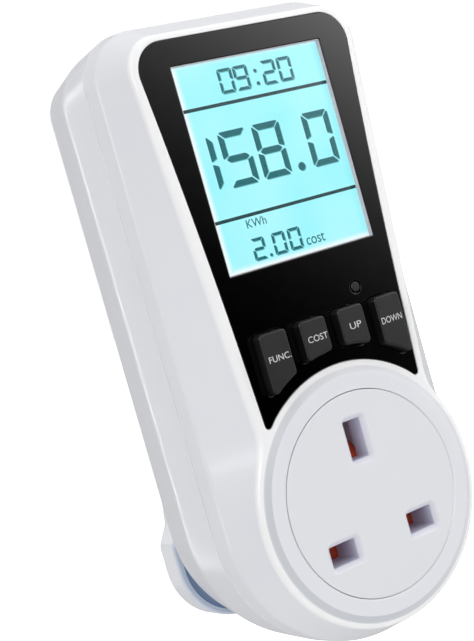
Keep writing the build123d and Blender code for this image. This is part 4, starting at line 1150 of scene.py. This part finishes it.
def studio_world():
    """Even pale light, with a soft dark flag and a brighter strip towards the right and front."""
    world = bpy.data.worlds.new("studio")
    bpy.context.scene.world = world
    world.use_nodes = True
    tree = world.node_tree
    background = tree.nodes["Background"]
    place = add_node(tree, "ShaderNodeTexCoord")
    flag = (math.sin(FLAG_HEADING), -math.cos(FLAG_HEADING), 0.0)
    across = (math.cos(FLAG_HEADING), math.sin(FLAG_HEADING), 0.0)
    ramp_way = Vector(across) * STRIP_SLOPE[0] + Vector((0, 0, 1)) * STRIP_SLOPE[1]
    towards = add_node(tree, "ShaderNodeVectorMath", operation="DOT_PRODUCT")
    towards.inputs[1].default_value = flag
    inside = add_node(tree, "ShaderNodeMapRange", interpolation_type="SMOOTHSTEP")
    inside.inputs["From Min"].default_value = math.cos(FLAG_CONE[0])
    inside.inputs["From Max"].default_value = math.cos(FLAG_CONE[1])
    along = add_node(tree, "ShaderNodeVectorMath", operation="DOT_PRODUCT")
    along.inputs[1].default_value = ramp_way
    ramp = add_node(tree, "ShaderNodeMapRange", From_Min=-0.5, From_Max=0.5)
    power = add_node(tree, "ShaderNodeMath", operation="POWER")
    power.inputs[1].default_value = STRIP_POWER
    strip = add_node(tree, "ShaderNodeMath", operation="MULTIPLY")
    strip.inputs[1].default_value = STRIP_LIGHT
    light = add_node(tree, "ShaderNodeMix", data_type="FLOAT")
    light.inputs[2].default_value = SKY_LIGHT
    seen = add_node(tree, "ShaderNodeLightPath")
    shown = add_node(tree, "ShaderNodeMix", data_type="FLOAT")
    shown.inputs[3].default_value = SKY_SEEN
    links = tree.links.new
    links(place.outputs["Generated"], towards.inputs[0])
    links(place.outputs["Generated"], along.inputs[0])
    links(towards.outputs["Value"], inside.inputs["Value"])
    links(along.outputs["Value"], ramp.inputs["Value"])
    links(ramp.outputs["Result"], power.inputs[0])
    links(power.outputs[0], strip.inputs[0])
    links(inside.outputs["Result"], light.inputs[0])
    links(strip.outputs[0], light.inputs[3])
    links(seen.outputs["Is Camera Ray"], shown.inputs[0])
    links(light.outputs[0], shown.inputs[2])
    links(shown.outputs[0], background.inputs["Strength"])
    background.inputs["Color"].default_value = SKY_COLOUR


def softbox(name, at, target, width, height, power, gloss=True, diffuse=True):
    """Rectangular area light facing its target; gloss and diffuse say what it is seen by."""
    data = bpy.data.lights.new(name, "AREA")
    data.shape = "RECTANGLE"
    data.size, data.size_y = width, height
    data.energy = power
    lamp = bpy.data.objects.new(name, data)
    lamp.visible_glossy = gloss
    lamp.visible_diffuse = diffuse
    lamp.location = at
    lamp.rotation_mode = "QUATERNION"
    lamp.rotation_quaternion = (Vector(target) - Vector(at)).to_track_quat("-Z", "Y")
    bpy.context.scene.collection.objects.link(lamp)


def floor():
    """Wide pale floor, well below the meter, that only the camera sees."""
    bm = bmesh.new()
    bmesh.ops.create_circle(bm, cap_ends=True, segments=96, radius=FLOOR_R)
    mesh = bpy.data.meshes.new("floor")
    bm.to_mesh(mesh)
    bm.free()
    mesh.materials.append(finish_of("pale_floor", (0.9, 0.9, 0.9), 0.8, mottle=0.005, mottle_mm=400,
                                    Emission_Color=(1, 1, 1, 1), Emission_Strength=0.75))
    made = bpy.data.objects.new("floor", mesh)
    made.location.z = cad_bounds[0].z - FLOOR_DROP
    made.visible_glossy = False
    made.visible_diffuse = False
    made.visible_shadow = False
    bpy.context.scene.collection.objects.link(made)


studio_world()
softbox("front_fill", (0.6, -0.9, 0.2), CENTRE, 0.5, 0.5, 1.2, gloss=False)
softbox("front_left_fill", (-0.5, -0.9, 0.3), CENTRE, 0.5, 0.5, 0.5, gloss=False)
softbox("low_fill", (-0.25, -0.35, -0.65), CENTRE, 0.6, 0.6, 2.2, gloss=False)
softbox("top_light", (-0.1, -0.1, 1.0), CENTRE, 0.5, 0.5, 2.7)
softbox("top_left_light", (-0.7, -0.45, 0.75), CENTRE, 0.3, 0.3, 1.5)
softbox("top_right_light", (0.8, -0.2, 0.6), CENTRE, 0.6, 0.6, 2.6)
softbox("left_fill", (-0.95, -0.2, 0.2), CENTRE, 0.3, 0.8, 1.0, gloss=False)
softbox("rim_card", (-0.75, -0.62, 0.45), CENTRE, 0.6, 0.7, 6.0, diffuse=False)
softbox("crease_card", (-0.8, 0.6, 0.1), CENTRE, 0.06, 0.9, 1.4, diffuse=False)
softbox("ridge_card", (-0.34, 0.94, 0.05), CENTRE, 0.05, 0.9, 1.2, diffuse=False)
floor()
